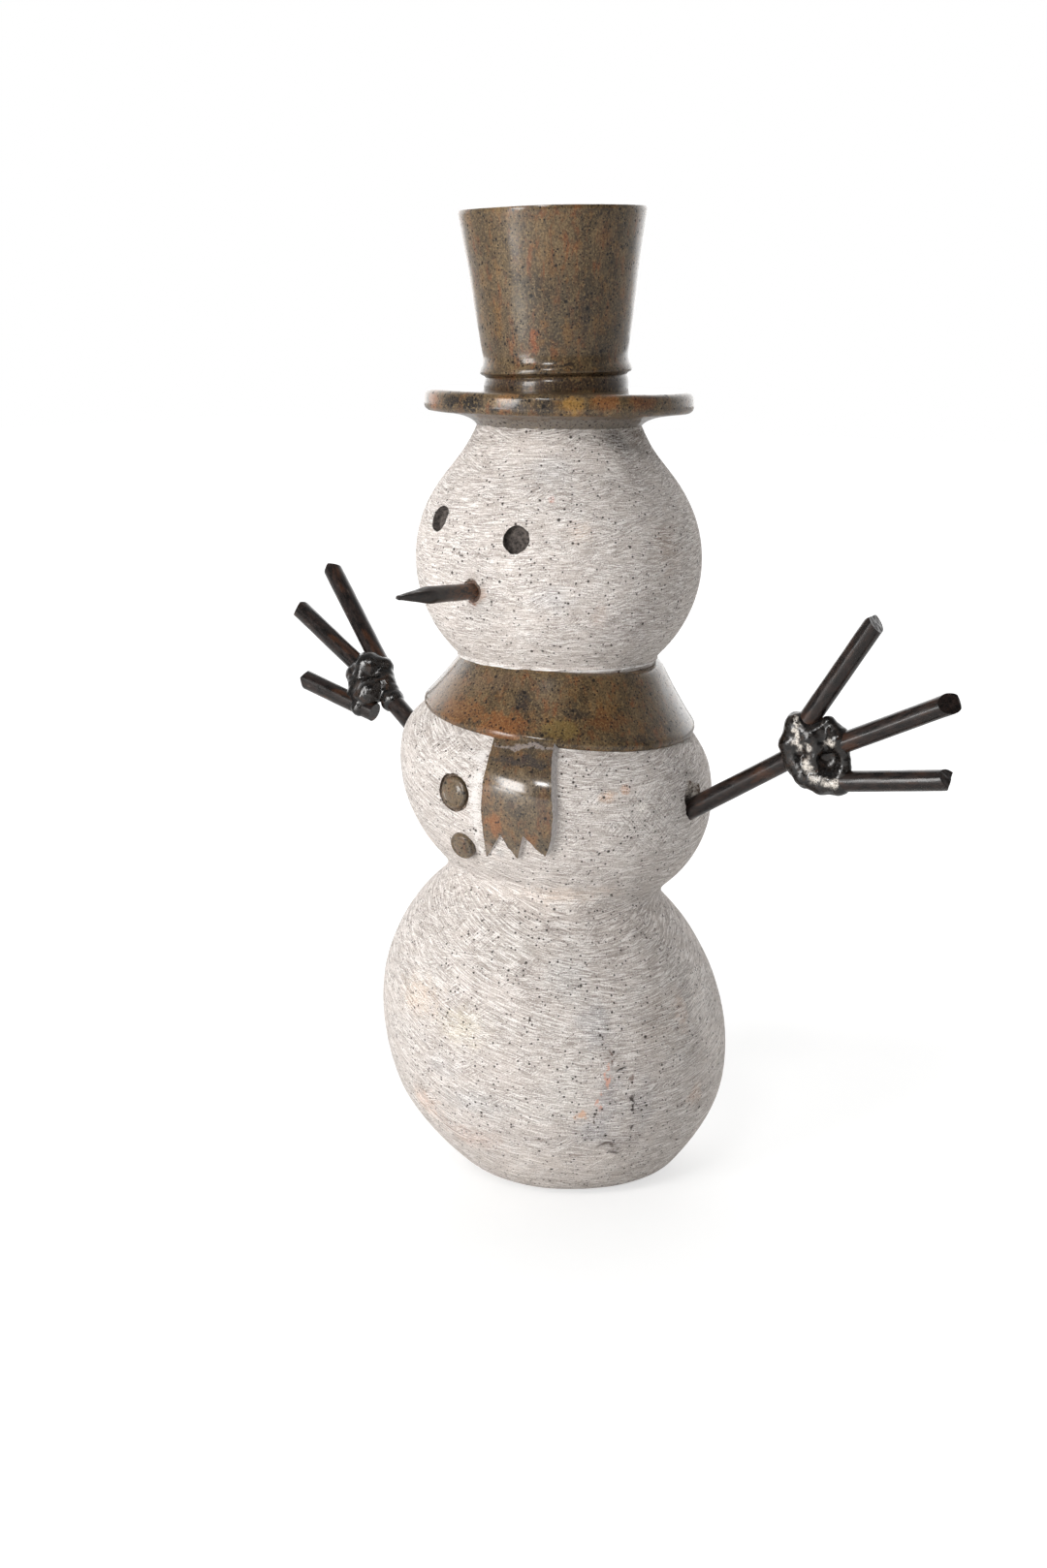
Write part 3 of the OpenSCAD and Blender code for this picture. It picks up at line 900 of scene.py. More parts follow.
def cone_tool(name, rings, origin, rotation, ragged, seed, material, columns=72):
    """A round cutter along its own +Z from (radius, height) rows, made ragged beyond the first ones."""
    profile = np.array(rings, float)
    points = lathe_rings(profile, columns)
    flat = points.reshape(-1, 3)
    noise = fractal(flat, 2.4, seed, 3)
    weight = np.repeat(np.array(ragged, float), columns)
    scale = 1.0 + weight * noise / np.maximum(np.hypot(flat[:, 0], flat[:, 1]), 0.5)
    flat = flat * np.column_stack([scale, scale, np.ones(len(flat))])
    flat = place(flat, origin, rotation)
    ends = on_axis([profile[0][1], profile[-1][1]], origin, rotation)
    made = ring_mesh(name, flat.reshape(points.shape), *ends)
    fix_normals(made)
    made.data.materials.append(material)
    return made


def joint_frame(name):
    """A socket's place in mm and the rotation that aims +Z along its arm."""
    found = next(j for j in frame["joints"] if j["name"] == name)
    axis = Vector(found["axis"]).normalized()
    azimuth = math.degrees(math.atan2(axis.y, axis.x))
    elevation = math.degrees(math.asin(axis.z))
    return np.array(found["pos_m"]) / MM, aim(azimuth, elevation)


def socket_tool(name, material, seed):
    """A round socket whose mouth is chipped wider."""
    rows = [(0.0, -SOCKET_DEPTH), (0.0, -14), (0.0, -2.6), (0.6, -1.6), (2.0, 0.2), (3.6, 2.0), (7.2, 6.0)]
    rings = [(SOCKET_R + wider, height) for wider, height in rows]
    ragged = [0, 0, 0, 0.25, 0.8, 1.6, 2.6]
    return cone_tool("bore", rings, *joint_frame(name), ragged, seed, material)


# Each button: name, elevation on the body, distance from the body's middle, groove radius, seed.
BUTTONS = [("button_upper", 1.0, 50.0, 6.0, 73), ("button_lower", -19.8, 49.5, 5.4, 79)]


def button_frame(elevation, radius):
    origin = ball(BODY_BALL)[0]
    rotation = aim(BUTTON_AZ, elevation)
    return origin + rotation @ np.array([0.0, 0.0, radius]), rotation


def build_button(name, elevation, radius, size, seed):
    origin, rotation = button_frame(elevation, radius)
    corners = [(0, -3.2), (4.0, -3.2), (4.8, -3.1), (4.9, -1.6), (4.75, -0.75), (4.4, -0.35),
               (4.0, -0.25), (3.5, -0.5), (3.1, -0.4), (2.2, 0.0), (1.0, 0.16), (0, 0.18)]
    corners = [(r * size / 6.0, z) for r, z in corners]
    return lathe_piece(name, corners, 96, 0.25, origin, rotation, 0.16, seed, 1)


def eye_frame(side, height):
    radius = HEAD_BALL["size"][0] / 2
    depth = -math.sqrt(radius ** 2 - side ** 2 - (height - HEAD_BALL["z"]) ** 2)
    azimuth = math.degrees(math.atan2(depth, side))
    elevation = math.degrees(math.asin((height - HEAD_BALL["z"]) / radius))
    rotation = aim(azimuth, elevation)
    return ball(HEAD_BALL)[0] + rotation @ np.array([0.0, 0.0, radius]), rotation


def eye_tool(side, height, seed, material):
    origin, rotation = eye_frame(side, height)
    rings = [(0.5, -3.3), (2.2, -2.95), (3.7, -2.5), (4.05, -1.6), (4.15, -0.8), (4.25, -0.1),
             (4.5, 0.8), (5.0, 4.0)]
    ragged = [0.1, 0.2, 0.15, 0.15, 0.2, 0.45, 0.5, 0.5]
    return cone_tool("eye", rings, origin, rotation, ragged, seed, material)


def nose_frame():
    return ball(HEAD_BALL)[0] + np.array([0.85, -44.2, -6.6]), aim(-88.7, 2.2)


# ------------------------------------------------------------------ steel parts

def bar_mesh(name, length, radius, start, end_planes, seed, origin, rotation, roughness=0.05, bend=0.0):
    """A bar along +Z whose far end is cropped by slanted planes, each (height, slope x, slope y)."""
    columns, cap_rings = 64, 7
    angle = np.linspace(0, 2 * math.pi, columns, endpoint=False)

    def far_end(x, y):
        heights = [height + sx * x + sy * y for height, sx, sy in end_planes]
        return np.minimum.reduce([np.full_like(x, length)] + heights)

    rim_x, rim_y = radius * np.cos(angle), radius * np.sin(angle)
    rim_z = far_end(rim_x, rim_y)
    rows = max(12, int((length - start) / 0.7))
    share = np.linspace(0, 1, rows)[:, None]
    across, up = np.repeat(rim_x[None], rows, 0), np.repeat(rim_y[None], rows, 0)
    side = np.stack([across, up, start + (rim_z - start) * share], -1)
    caps = []
    for ring in range(1, cap_rings):
        x, y = rim_x * (1 - ring / cap_rings), rim_y * (1 - ring / cap_rings)
        caps.append(np.stack([x, y, far_end(x, y)], -1))
    rings = np.concatenate([side, np.array(caps)])
    local = rings.reshape(-1, 3)
    on_side = np.arange(len(local)) < rows * columns
    bumps = fractal(local * np.array([1, 1, 0.35]), 1.7, seed, 3) * roughness
    ends = smooth_step(local[:, 2], length - 6.0, length - 1.0)
    bumps = bumps * (1.0 + 2.0 * ends) - 0.02 * roughness
    moved = local + radial(local) * (bumps * on_side)[:, None]
    moved[:, 2] += np.where(on_side, 0.0, fractal(local, 1.3, seed + 3, 2) * 0.16)
    moved[:, 0] += bend * ((local[:, 2] - start) / max(length - start, 1)) ** 2
    tip = np.array([[0.0, 0.0, float(far_end(np.array([0.0]), np.array([0.0]))[0])]])
    tip[:, 0] += bend
    ends_world = place(np.concatenate([[[0.0, 0.0, start]], tip]), origin, rotation)
    placed = place(moved, origin, rotation).reshape(rings.shape)
    made = ring_mesh(name, placed, ends_world[0], ends_world[1])
    store_local(made, np.concatenate([local, [[0.0, 0.0, start]], tip]))
    return made


def hand_frame(joint, roll, reach):
    origin, rotation = joint_frame(joint)
    rotation = rotation @ turn("Z", roll)
    return origin + rotation @ np.array([0.0, 0.0, reach]), rotation


def finger_frame(hand, spec):
    origin, rotation = hand
    inner = origin + rotation @ np.array([spec[1], 0.0, spec[0]])
    return inner, rotation @ turn("Y", spec[2])


def sphere_points(centre, radius, rows=20, columns=32):
    tilt = np.radians(np.linspace(-85, 85, rows))
    flat = lathe_rings(np.stack([radius * np.cos(tilt), radius * np.sin(tilt)], axis=1), columns)
    return flat + np.array(centre)


def blob_object(name, blobs, origin, rotation):
    """Several overlapping balls in one mesh, given as (up, sideways, along, radius)."""
    points, faces = [], []
    for up, side, forward, radius in blobs:
        rings = sphere_points((up, side, forward), radius)
        faces += capped_faces(*rings.shape[:2], sum(len(p) for p in points))
        poles = [[up, side, forward - radius], [up, side, forward + radius]]
        points.append(np.concatenate([rings.reshape(-1, 3), poles]))
    return mesh_object(name, place(np.concatenate(points), origin, rotation), faces)


def bridged(blobs, reach=7.6, share=0.94):
    """The balls with one more between each two that are close, so the necks between them fill."""
    rows = [np.array(blob) for blob in blobs]
    filled = list(rows)
    for index, first in enumerate(rows):
        for second in rows[index + 1:]:
            if np.linalg.norm(first[:3] - second[:3]) < reach:
                middle = (first + second) / 2
                middle[3] *= share
                filled.append(middle)
    return filled


def build_weld(name, blobs, hand, seed, craters):
    """Balls of weld metal run together, then dimpled and rippled."""
    made = blob_object(name, bridged(blobs), *hand)
    remesh = made.modifiers.new("run_together", "REMESH")
    remesh.mode = "VOXEL"
    remesh.voxel_size = 0.42 * MM
    smooth = made.modifiers.new("soften", "SMOOTH")
    smooth.iterations = 14
    smooth.factor = 0.5
    apply_modifiers(made)
    points = vertex_values(made.data, "co", MM)
    normals = vertex_values(made.data, "normal")
    lumps = fractal(points, 3.4, seed, 2) * 0.30 + fractal(points, 1.1, seed + 9, 2) * 0.07
    local = unplace(points, *hand)
    for up, side, forward, radius, depth in craters:
        gap = np.linalg.norm(local - np.array([up, side, forward]), axis=1)
        lumps -= depth * (1 - smooth_step(gap, radius * 0.35, radius))
    made.data.vertices.foreach_set("co", ((points + normals * lumps[:, None]) * MM).ravel())
    made.data.update()
    return made


# ------------------------------------------------------------------ materials for this object

def world_mm(point):
    return tuple(float(value) for value in point)


def surface_spot(right, up, ball_spec, distance):
    """A point on the block's side that faces the camera, from offsets right of its line and a height."""
    origin = ball(ball_spec)[0]
    start = np.array([[origin[0] + right * RIGHT[0], origin[1] + right * RIGHT[1], up]])
    hit = shoot(distance, start, np.array([FACING]), 80.0)
    return world_mm((start + np.array([FACING]) * hit[:, None])[0])


# Height, middle and half width of the dressed strip beside the tail.
TAIL_STRIP = [(148.0, -10.0, 2.6), (142.0, -10.4, 2.6), (136.0, -11.2, 2.4), (130.0, -11.6, 2.2),
              (124.0, -11.8, 2.0), (118.0, -11.8, 1.7), (113.0, -11.6, 1.4)]


def tail_strip():
    """The pale, smoothly dressed strip down the stone beside the tail's left edge."""
    rows = []
    for height, across, half in TAIL_STRIP:
        across_mm, heights = np.array([across]), np.array([height])
        middle = world_mm(tail_point(across_mm, heights, body_front(across_mm, heights))[0])
        rows.append((middle, (half, half, 4.4), (226, 222, 219), 0.80))
    return rows


def nose_stains():
    origin, rotation = nose_frame()
    low = origin + rotation @ np.array([-3.0, 0.6, 0.4])
    side = origin + rotation @ np.array([-0.6, -1.4, 0.2])
    return [(world_mm(low), (2.6, 2.6, 2.4), (126, 84, 62), 0.85),
            (world_mm(side), (3.7, 3.7, 3.4), (176, 144, 124), 0.55)]


def patches(locate, rows):
    """A material's patches: where each one lies on the stone, its radii, its shade and its strength."""
    return [(locate(*row[:-4]), (row[-4], row[-4], row[-3]), row[-2], row[-1]) for row in rows]


def side_patches(ball_spec, distance, rows):
    return patches(lambda right, up: surface_spot(right, up, ball_spec, distance), rows)


def turned_spot(place_of, azimuth, radius, height):
    """A point on a turned piece: azimuth right of the camera's side, then its own radius and height."""
    origin, rotation = place_of
    angle = math.radians(CAMERA_AZ + azimuth)
    local = np.array([math.cos(angle) * radius, math.sin(angle) * radius, 0.0]) @ rotation
    local[2] = height
    return world_mm(place(local[None], origin, rotation)[0])


def turned_patches(place_of, rows):
    return patches(lambda azimuth, radius, height: turned_spot(place_of, azimuth, radius, height), rows)


def tail_spot(across, height):
    across_mm, heights = np.array([across]), np.array([height])
    out = body_front(across_mm, heights) + tail_rise(across_mm, heights)
    return world_mm(tail_point(across_mm, heights, out)[0])


# Patches on the rasped stone: right of its line, height, half width, half height, shade, strength.
BASE_TINTS_AND_PAINTED_LIGHT = [
    # The first three rows are painted light: the base lightened at its far right, low down and at its top.
    (46, 62, 12, 36, (236, 228, 222), 0.60), (0, 14, 46, 11, (224, 214, 206), 0.45),
    (0, 98, 34, 10, (222, 214, 208), 0.35), (-42, 66, 15, 9, (226, 196, 166), 0.40),
    (-28, 60, 13, 8, (214, 203, 170), 0.40), (-35, 46, 10, 5, (150, 152, 158), 0.36),
    (-24, 36, 17, 6, (168, 172, 174), 0.40), (-40, 30, 11, 8, (222, 178, 150), 0.40),
    (-26, 22, 16, 7, (216, 176, 156), 0.36), (-18, 16, 9, 5, (150, 138, 134), 0.29),
    (4, 76, 8, 14, (176, 180, 182), 0.32), (12, 62, 8, 12, (142, 146, 154), 0.45),
    (17, 38, 7, 14, (140, 142, 150), 0.43), (12, 28, 8, 7, (128, 134, 146), 0.43),
    (27, 36, 8, 14, (138, 138, 142), 0.43), (20, 24, 12, 5, (132, 124, 122), 0.45),
    (34, 60, 13, 14, (186, 172, 158), 0.29), (39, 62, 5, 10, (222, 186, 160), 0.32),
    (44, 34, 5, 5, (226, 182, 148), 0.43), (2, 40, 15, 12, (226, 221, 215), 0.36),
    (-10, 84, 16, 7, (218, 212, 204), 0.29),
]

BASE_STAINS = [
    (17.5, 52, 0.9, 4.0, (96, 72, 62), 0.85), (16.0, 46, 0.9, 6.5, (214, 160, 140), 0.80),
    (13.6, 38, 0.8, 4.5, (206, 152, 132), 0.75), (12.4, 33, 0.6, 2.8, (70, 56, 52), 0.80),
    (20.5, 48, 2.2, 1.1, (44, 36, 34), 0.90), (23.2, 44, 0.7, 3.0, (120, 96, 86), 0.70),
    (24.2, 36, 0.8, 5.5, (46, 38, 36), 0.92), (23.6, 28, 0.8, 3.6, (58, 48, 46), 0.85),
    (16.0, 23, 4.0, 1.2, (84, 70, 64), 0.75), (19.0, 20, 3.0, 1.0, (60, 50, 48), 0.70),
    (8.0, 34, 2.6, 1.2, (214, 166, 132), 0.70), (6.0, 19, 3.4, 1.0, (128, 104, 96), 0.55),
]

TORSO_TINTS_AND_PAINTED_SHADE = [
    # The first row is painted shade, darkening the right side of the torso.
    (38, 134, 12, 18, (166, 158, 155), 0.40), (27, 128, 6, 6, (196, 184, 176), 0.40),
    (15, 131, 4.5, 2.4, (226, 188, 158), 0.65), (21, 133, 2.4, 2.2, (214, 158, 118), 0.60),
    (26, 127, 2.6, 2.6, (252, 246, 238), 0.90), (-20.5, 128, 1.8, 3.5, (96, 100, 106), 0.75),
    (-19, 119, 2.4, 5.0, (128, 128, 132), 0.70), (-17, 112, 2.0, 3.0, (150, 148, 148), 0.55),
    (-40, 110, 8, 5, (228, 192, 170), 0.50), (6, 146, 18, 4, (196, 196, 196), 0.45),
    (4, 98, 20, 4, (226, 200, 178), 0.40),
]

HEAD_TINTS_AND_PAINTED_SHADE = [
    # The first row is painted shade, darkening the head low on its right.
    (22, 181, 14, 11, (156, 147, 144), 0.50), (17, 236, 6, 5, (104, 98, 94), 0.80),
    (20, 232, 5, 8, (118, 110, 106), 0.60), (23, 226, 6, 8, (140, 130, 125), 0.50),
    (-2, 228, 10, 8, (196, 196, 198), 0.40), (24, 236, 7, 4, (126, 104, 88), 0.55),
    (-2, 219, 1.5, 1.6, (196, 120, 96), 0.90), (6, 210, 6, 5, (206, 182, 164), 0.50),
    (33, 205, 10, 12, (176, 156, 142), 0.50), (12, 184, 3, 9, (196, 168, 152), 0.35),
    (-2, 190, 10, 6, (190, 192, 196), 0.35),
]

# Patches on the turned pieces: azimuth, radius and height, then as above.
CROWN_STAINS = [
    (6, 25, 34, 5, 15, (62, 56, 46), 0.50), (-26, 25, 34, 3.2, 16, (104, 94, 76), 0.45),
    (-8, 25, 30, 2.2, 5, (122, 84, 42), 0.60), (8, 24, 27, 2.0, 8, (112, 78, 38), 0.55),
    (-16, 24, 24, 2.0, 7.5, (128, 68, 30), 0.85), (-1, 24, 22, 2.2, 6.5, (108, 62, 28), 0.75),
    (-38, 24, 21, 1.3, 6, (32, 24, 18), 0.85), (-12, 26, 38, 1.3, 5, (134, 70, 36), 0.75),
    (-2, 27, 42, 2.2, 9, (98, 66, 34), 0.60), (-46, 25, 28, 2.6, 11, (104, 74, 36), 0.65),
    (-30, 26, 50, 3.2, 8, (84, 66, 36), 0.50), (2, 23.6, 19, 7, 0.9, (30, 22, 17), 0.80),
    (0, 22, 13.4, 60, 2.4, (58, 44, 34), 0.80), (22, 24, 33, 2.0, 12, (42, 36, 34), 0.60),
    (34, 28, 56, 3, 7, (90, 56, 34), 0.45),
]

BRIM_STAINS_AND_PAINTED_SHADE = [
    # The first row greys the collar under the brim: partly the unpolished stone's own grey, partly painted
    # shade.
    (0, 30, 1.2, 70, 2.9, (116, 110, 104), 0.90), (-66, 41, 8, 5, 5, (128, 82, 46), 0.85),
    (-50, 42, 8.4, 4.5, 2.6, (26, 22, 20), 0.92), (-39, 42, 8, 5.0, 3.4, (24, 21, 20), 0.95),
    (-27, 41, 6.5, 3.0, 1.6, (30, 26, 24), 0.85), (-17, 41, 7, 5, 2.0, (58, 52, 50), 0.70),
    (-6, 41, 7, 4, 3.0, (44, 38, 34), 0.75), (5, 41, 8, 4.5, 3.4, (142, 106, 50), 0.75),
    (20, 41, 9, 5, 3, (128, 78, 40), 0.65), (36, 41, 9, 6, 3, (108, 62, 34), 0.60),
    (-22, 41, 10, 5, 1.6, (150, 108, 66), 0.60),
]

SCARF_STAINS = [
    (-20, 36, 9.5, 3.6, 3.6, (34, 31, 31), 0.80), (8, 37, 8.5, 5, 1.6, (34, 31, 31), 0.60),
    (-70, 38, 6, 13, 8, (120, 92, 64), 0.55), (-50, 40, 3, 12, 5, (124, 80, 42), 0.60),
    (-25, 41, 2, 10, 5, (128, 76, 36), 0.65), (0, 40, 4, 7, 4, (112, 92, 48), 0.60),
    (22, 40, 7, 9, 3.4, (92, 56, 30), 0.60), (36, 41, 2, 3, 2, (34, 28, 24), 0.70),
    (-40, 34, 13, 12, 3.4, (104, 84, 66), 0.45),
]

# Patches on the tail: across and height, then as above.
TAIL_STAINS_AND_PAINTED_LIGHT = [
    # The first row is a painted shadow across the top of the tail, under the scarf's lip.
    (3, 141.6, 12, 1.7, (46, 42, 44), 0.80), (3, 145.6, 12, 0.9, (150, 140, 136), 0.85),
    (-5, 122, 4.6, 5.0, (134, 78, 32), 0.80), (-7, 131, 2.6, 5.0, (118, 82, 46), 0.60),
    (10.4, 130, 2.0, 12, (86, 56, 36), 0.65), (6, 118.6, 3, 2.6, (126, 78, 38), 0.60),
    (-8, 114, 3, 3, (134, 120, 106), 0.65), (2, 114, 2.4, 3, (108, 96, 82), 0.55),
    # The last row is a painted highlight: a paler patch where the key light's reflection falls on the tail.
    (3, 134, 6, 6, (128, 112, 90), 0.40),
]


def make_materials():
    side = surface_spot(30, 122, BODY_BALL, body_distance)
    body_strokes = [
        (mixed_direction(0.20, 0.42, 1.0), 0.21, 5.5, 1, None, None, None),
        (mixed_direction(0.32, 0.30, 1.0), 0.34, 8.0, 2, 0.48, 0.56, None),
        (mixed_direction(-0.04, 0.08, 1.0), 0.20, 4.5, 3, 0.44, 0.52, None),
        (mixed_direction(-0.75, 0.2, 1.0), 0.30, 4.0, 4, 0.56, 0.62, None),
        (mixed_direction(1.0, 0.1, 0.75), 0.36, 5.0, 9, 0.0, 1.0, (side, (15, 15, 12))),
        (mixed_direction(-1.0, 0.1, 0.8), 0.36, 5.0, 10, 0.0, 1.0, (side, (17, 17, 13))),
    ]
    head_strokes = [
        (mixed_direction(-0.02, 0.05, 1.0), 0.20, 4.5, 5, None, None, None),
        (mixed_direction(-0.22, 0.18, 1.0), 0.28, 6.0, 6, 0.47, 0.55, None),
        (mixed_direction(0.30, 0.15, 1.0), 0.28, 4.5, 7, 0.50, 0.58, None),
        (mixed_direction(-0.6, 0.3, 1.0), 0.32, 3.5, 8, 0.57, 0.63, None),
    ]
    body_tints_and_painted_light = side_patches(BASE_BALL, body_distance, BASE_TINTS_AND_PAINTED_LIGHT)
    body_tints_and_painted_light += side_patches(BODY_BALL, body_distance, TORSO_TINTS_AND_PAINTED_SHADE)
    body_stains = side_patches(BASE_BALL, body_distance, BASE_STAINS) + tail_strip()
    head_tints_and_painted_shade = side_patches(HEAD_BALL, head_distance, HEAD_TINTS_AND_PAINTED_SHADE)
    crown_stains = turned_patches(hat_frame(CROWN_PLACE), CROWN_STAINS)
    brim_stains_and_painted_shade = turned_patches(hat_frame(BRIM_PLACE), BRIM_STAINS_AND_PAINTED_SHADE)
    scarf_stains = turned_patches(scarf_frame(), SCARF_STAINS)
    tail_stains_and_painted_light = patches(tail_spot, TAIL_STAINS_AND_PAINTED_LIGHT)
    return {
        "rasped_body": rasped_stone("rasped_body_stone", body_strokes, body_tints_and_painted_light, body_stains),
        "rasped_head": rasped_stone("rasped_head_stone", head_strokes, head_tints_and_painted_shade, nose_stains(), True),
        "polished_crown": polished_stone("polished_crown_stone", crown_stains),
        "polished_brim": polished_stone("polished_brim_stone", brim_stains_and_painted_shade),
        "polished_scarf": polished_stone("polished_scarf_stone", scarf_stains),
        "polished_tail": polished_stone("polished_tail_stone", tail_stains_and_painted_light, 0.10, 1.0),
        "button": polished_stone("polished_button_stone", [], 0.25),
        "eye": plain_rough("eye_pit_stone", (38, 34, 32), (92, 84, 79), 1.1),
        "groove": plain_rough("groove_stone", (52, 42, 35), (128, 112, 98), 0.7),
        "side": plain_rough("sanded_side_stone", (176, 169, 167), (212, 207, 204), 0.8),
        "crater": plain_rough("crater_stone", (96, 80, 68), (226, 217, 208), 1.1),
        "glue": plain_rough("amber_glue_resin", (58, 40, 30), (112, 84, 66), 0.8, 0.4),
        "bar": bar_steel("lacquered_bar_steel"),
        "nail": nail_steel("nail_steel_metal"),
    }


# ------------------------------------------------------------------ assembly

def groove_tool(elevation, radius, size, seed, material):
    """The groove round a carved button."""
    ring = [(size - 0.4, -1.6), (size - 0.1, -1.3), (size, 0.0), (size + 0.4, 3.0)]
    return cone_tool("ring", ring, *button_frame(elevation, radius), [0.0, 0.15, 0.45, 0.45], seed, material)


def drilled_body(materials):
    body = build_body()
    body.data.materials.append(materials["rasped_body"])
    cutters = [groove_tool(*spec[1:], materials["groove"]) for spec in BUTTONS]
    cutters.append(socket_tool("left_arm_swivel", materials["crater"], 21))
    cutters.append(socket_tool("right_arm_swivel", materials["crater"], 23))
    combine(body, "DIFFERENCE", cutters)
    return body


def drilled_head(materials):
    head = build_head()
    head.data.materials.append(materials["rasped_head"])
    mouth = [(2.9, -18.5), (2.9, -1.0), (3.0, -0.4), (3.5, 0.6), (4.2, 3.0)]
    cutters = [cone_tool("hole", mouth, *nose_frame(), [0, 0, 0.1, 0.6, 0.8], 33, materials["crater"])]
    cutters.append(eye_tool(-15.6, 212.4, 41, materials["eye"]))
    cutters.append(eye_tool(14.9, 207.6, 42, materials["eye"]))
    combine(head, "DIFFERENCE", cutters)
    weight = head.data.attributes.new("ridge", "FLOAT", "POINT")
    points = vertex_values(head.data, "co", MM)
    weight.data.foreach_set("value", ridge_weight(points).astype(np.float32))
    return head


def build_stone(materials):
    for piece in (drilled_body(materials), drilled_head(materials)):
        dress(piece, "stone", "stone_figure")
    dress(build_tail(materials), "stone", "stone_figure")
    pieces = [(build_brim(), "polished_brim"), (build_crown(), "polished_crown")]
    pieces.append((build_scarf(), "polished_scarf"))
    for spec in BUTTONS:
        pieces.append((build_button(*spec), "button"))
    for piece, material in pieces:
        dress(piece, "stone", "stone_figure", material=materials[material])


# The ground nail's shape: place along its axis and half its width.
NAIL_SHAPE = [(-18, 2.0), (-17.2, 2.5), (-2, 2.5), (0, 2.42), (10, 2.48), (19.5, 2.56), (21, 2.45),
              (26, 1.75), (33.5, 0.78), (35.0, 0.66), (35.5, 0.45)]


def build_nail(material):
    """The nail: a round shank ground to four rough facets at its point."""
    origin, rotation = nose_frame()
    heights = np.concatenate([np.arange(-18.0, 20.0, 0.5), np.linspace(20.0, 35.5, 34)])
    reach, girth = np.array(NAIL_SHAPE).T
    radius = np.interp(heights, reach, girth)
    columns = 60
    angle = np.linspace(0, 2 * math.pi, columns, endpoint=False)
    facet = smooth_step(heights, 18.0, 23.0)[:, None]
    corner = np.abs(np.cos(angle + 0.3)) ** 5 + np.abs(np.sin(angle + 0.3)) ** 5
    square = 1.0 / np.maximum(corner, 1e-6) ** 0.2
    r = radius[:, None] * (1.0 + facet * (square[None] * 0.94 - 1.0))
    rings = np.stack([r * np.cos(angle), r * np.sin(angle), np.repeat(heights[:, None], columns, 1)], -1)
    local = rings.reshape(-1, 3)
    bumps = fractal(local * np.array([1, 1, 0.4]), 1.4, 57, 3) * 0.05
    placed = place(local + radial(local) * bumps[:, None], origin, rotation)
    ends = [heights[0], heights[-1]]
    nail = ring_mesh("nose_nail_ground", placed.reshape(rings.shape), *on_axis(ends, origin, rotation))
    store_local(nail, np.concatenate([local, [[0, 0, ends[0]], [0, 0, ends[1]]]]))
    dress(nail, "stone", "nose_nail", 30.0, material)


def build_glue(material):
    """The bead of glue round the nail's root."""
    origin, rotation = nose_frame()
    corners = [(2.3, -18.2), (2.8, -18.0), (2.85, -10.0), (2.85, -1.4), (3.2, -0.7), (3.3, -0.25),
               (2.9, 0.15), (2.4, 0.1)]
    rings = lathe_rings(resample(round_corners(np.array(corners, float), 1), 0.3), 72)
    flat = rings.reshape(-1, 3)
    swell = smooth_step(flat[:, 2], -1.2, 0.0) * fractal(flat, 1.5, 63, 2) * 0.35
    placed = place(flat + radial(flat) * swell[:, None], origin, rotation)
    ends = on_axis([-18.2, 0.0], origin, rotation)
    glue = ring_mesh("nose_glue_bead", placed.reshape(rings.shape), *ends)
    dress(glue, "stone", "nose_glue", material=material)


def build_arm(side, materials):
    """One arm: its bar, three fingers and the weld that holds them."""
    joint = side + "_arm_swivel"
    body = side + "_arm"
    spec = ARMS[side]
    hand = hand_frame(joint, spec["roll"], spec["reach"])
    origin, rotation = hand
    length = spec["reach"] + SOCKET_DEPTH - 0.5 - spec["stop"]
    start = origin + rotation @ np.array([0.0, 0.0, -spec["reach"] - SOCKET_DEPTH + 0.5])
    rod = bar_mesh(side + "_arm_bar", length, BAR_R, 0.0, [], spec["seed"], start, rotation, 0.012)
    pieces = [(rod, side + "_arm_rod")]
    for number, label in enumerate(("upper", "middle", "lower")):
        inner, turned = finger_frame(hand, spec["fingers"][number])
        planes = spec["ends"][number]
        finger = bar_mesh(side + "_" + label + "_bar", spec["fingers"][number][3], BAR_R, 0.0, planes,
                          spec["seed"] + 10 * number + 3, inner, turned, 0.03)
        pieces.append((finger, side + "_" + label + "_finger"))
    for piece, node in pieces:
        dress(piece, body, node, 32.0, materials["bar"])
    weld = build_weld(side + "_weld_bead", spec["blobs"], hand, spec["seed"], spec["craters"])
    powder = []
    for up, sideways, forward, radius, strength in spec["powder"]:
        middle = place(np.array([[up, sideways, forward]]), *hand)[0]
        powder.append((world_mm(middle), (radius,) * 3, strength))
    metal = weld_steel(side + "_weld_steel_metal", powder)
    dress(weld, body, side + "_hand_weld", 60.0, metal)


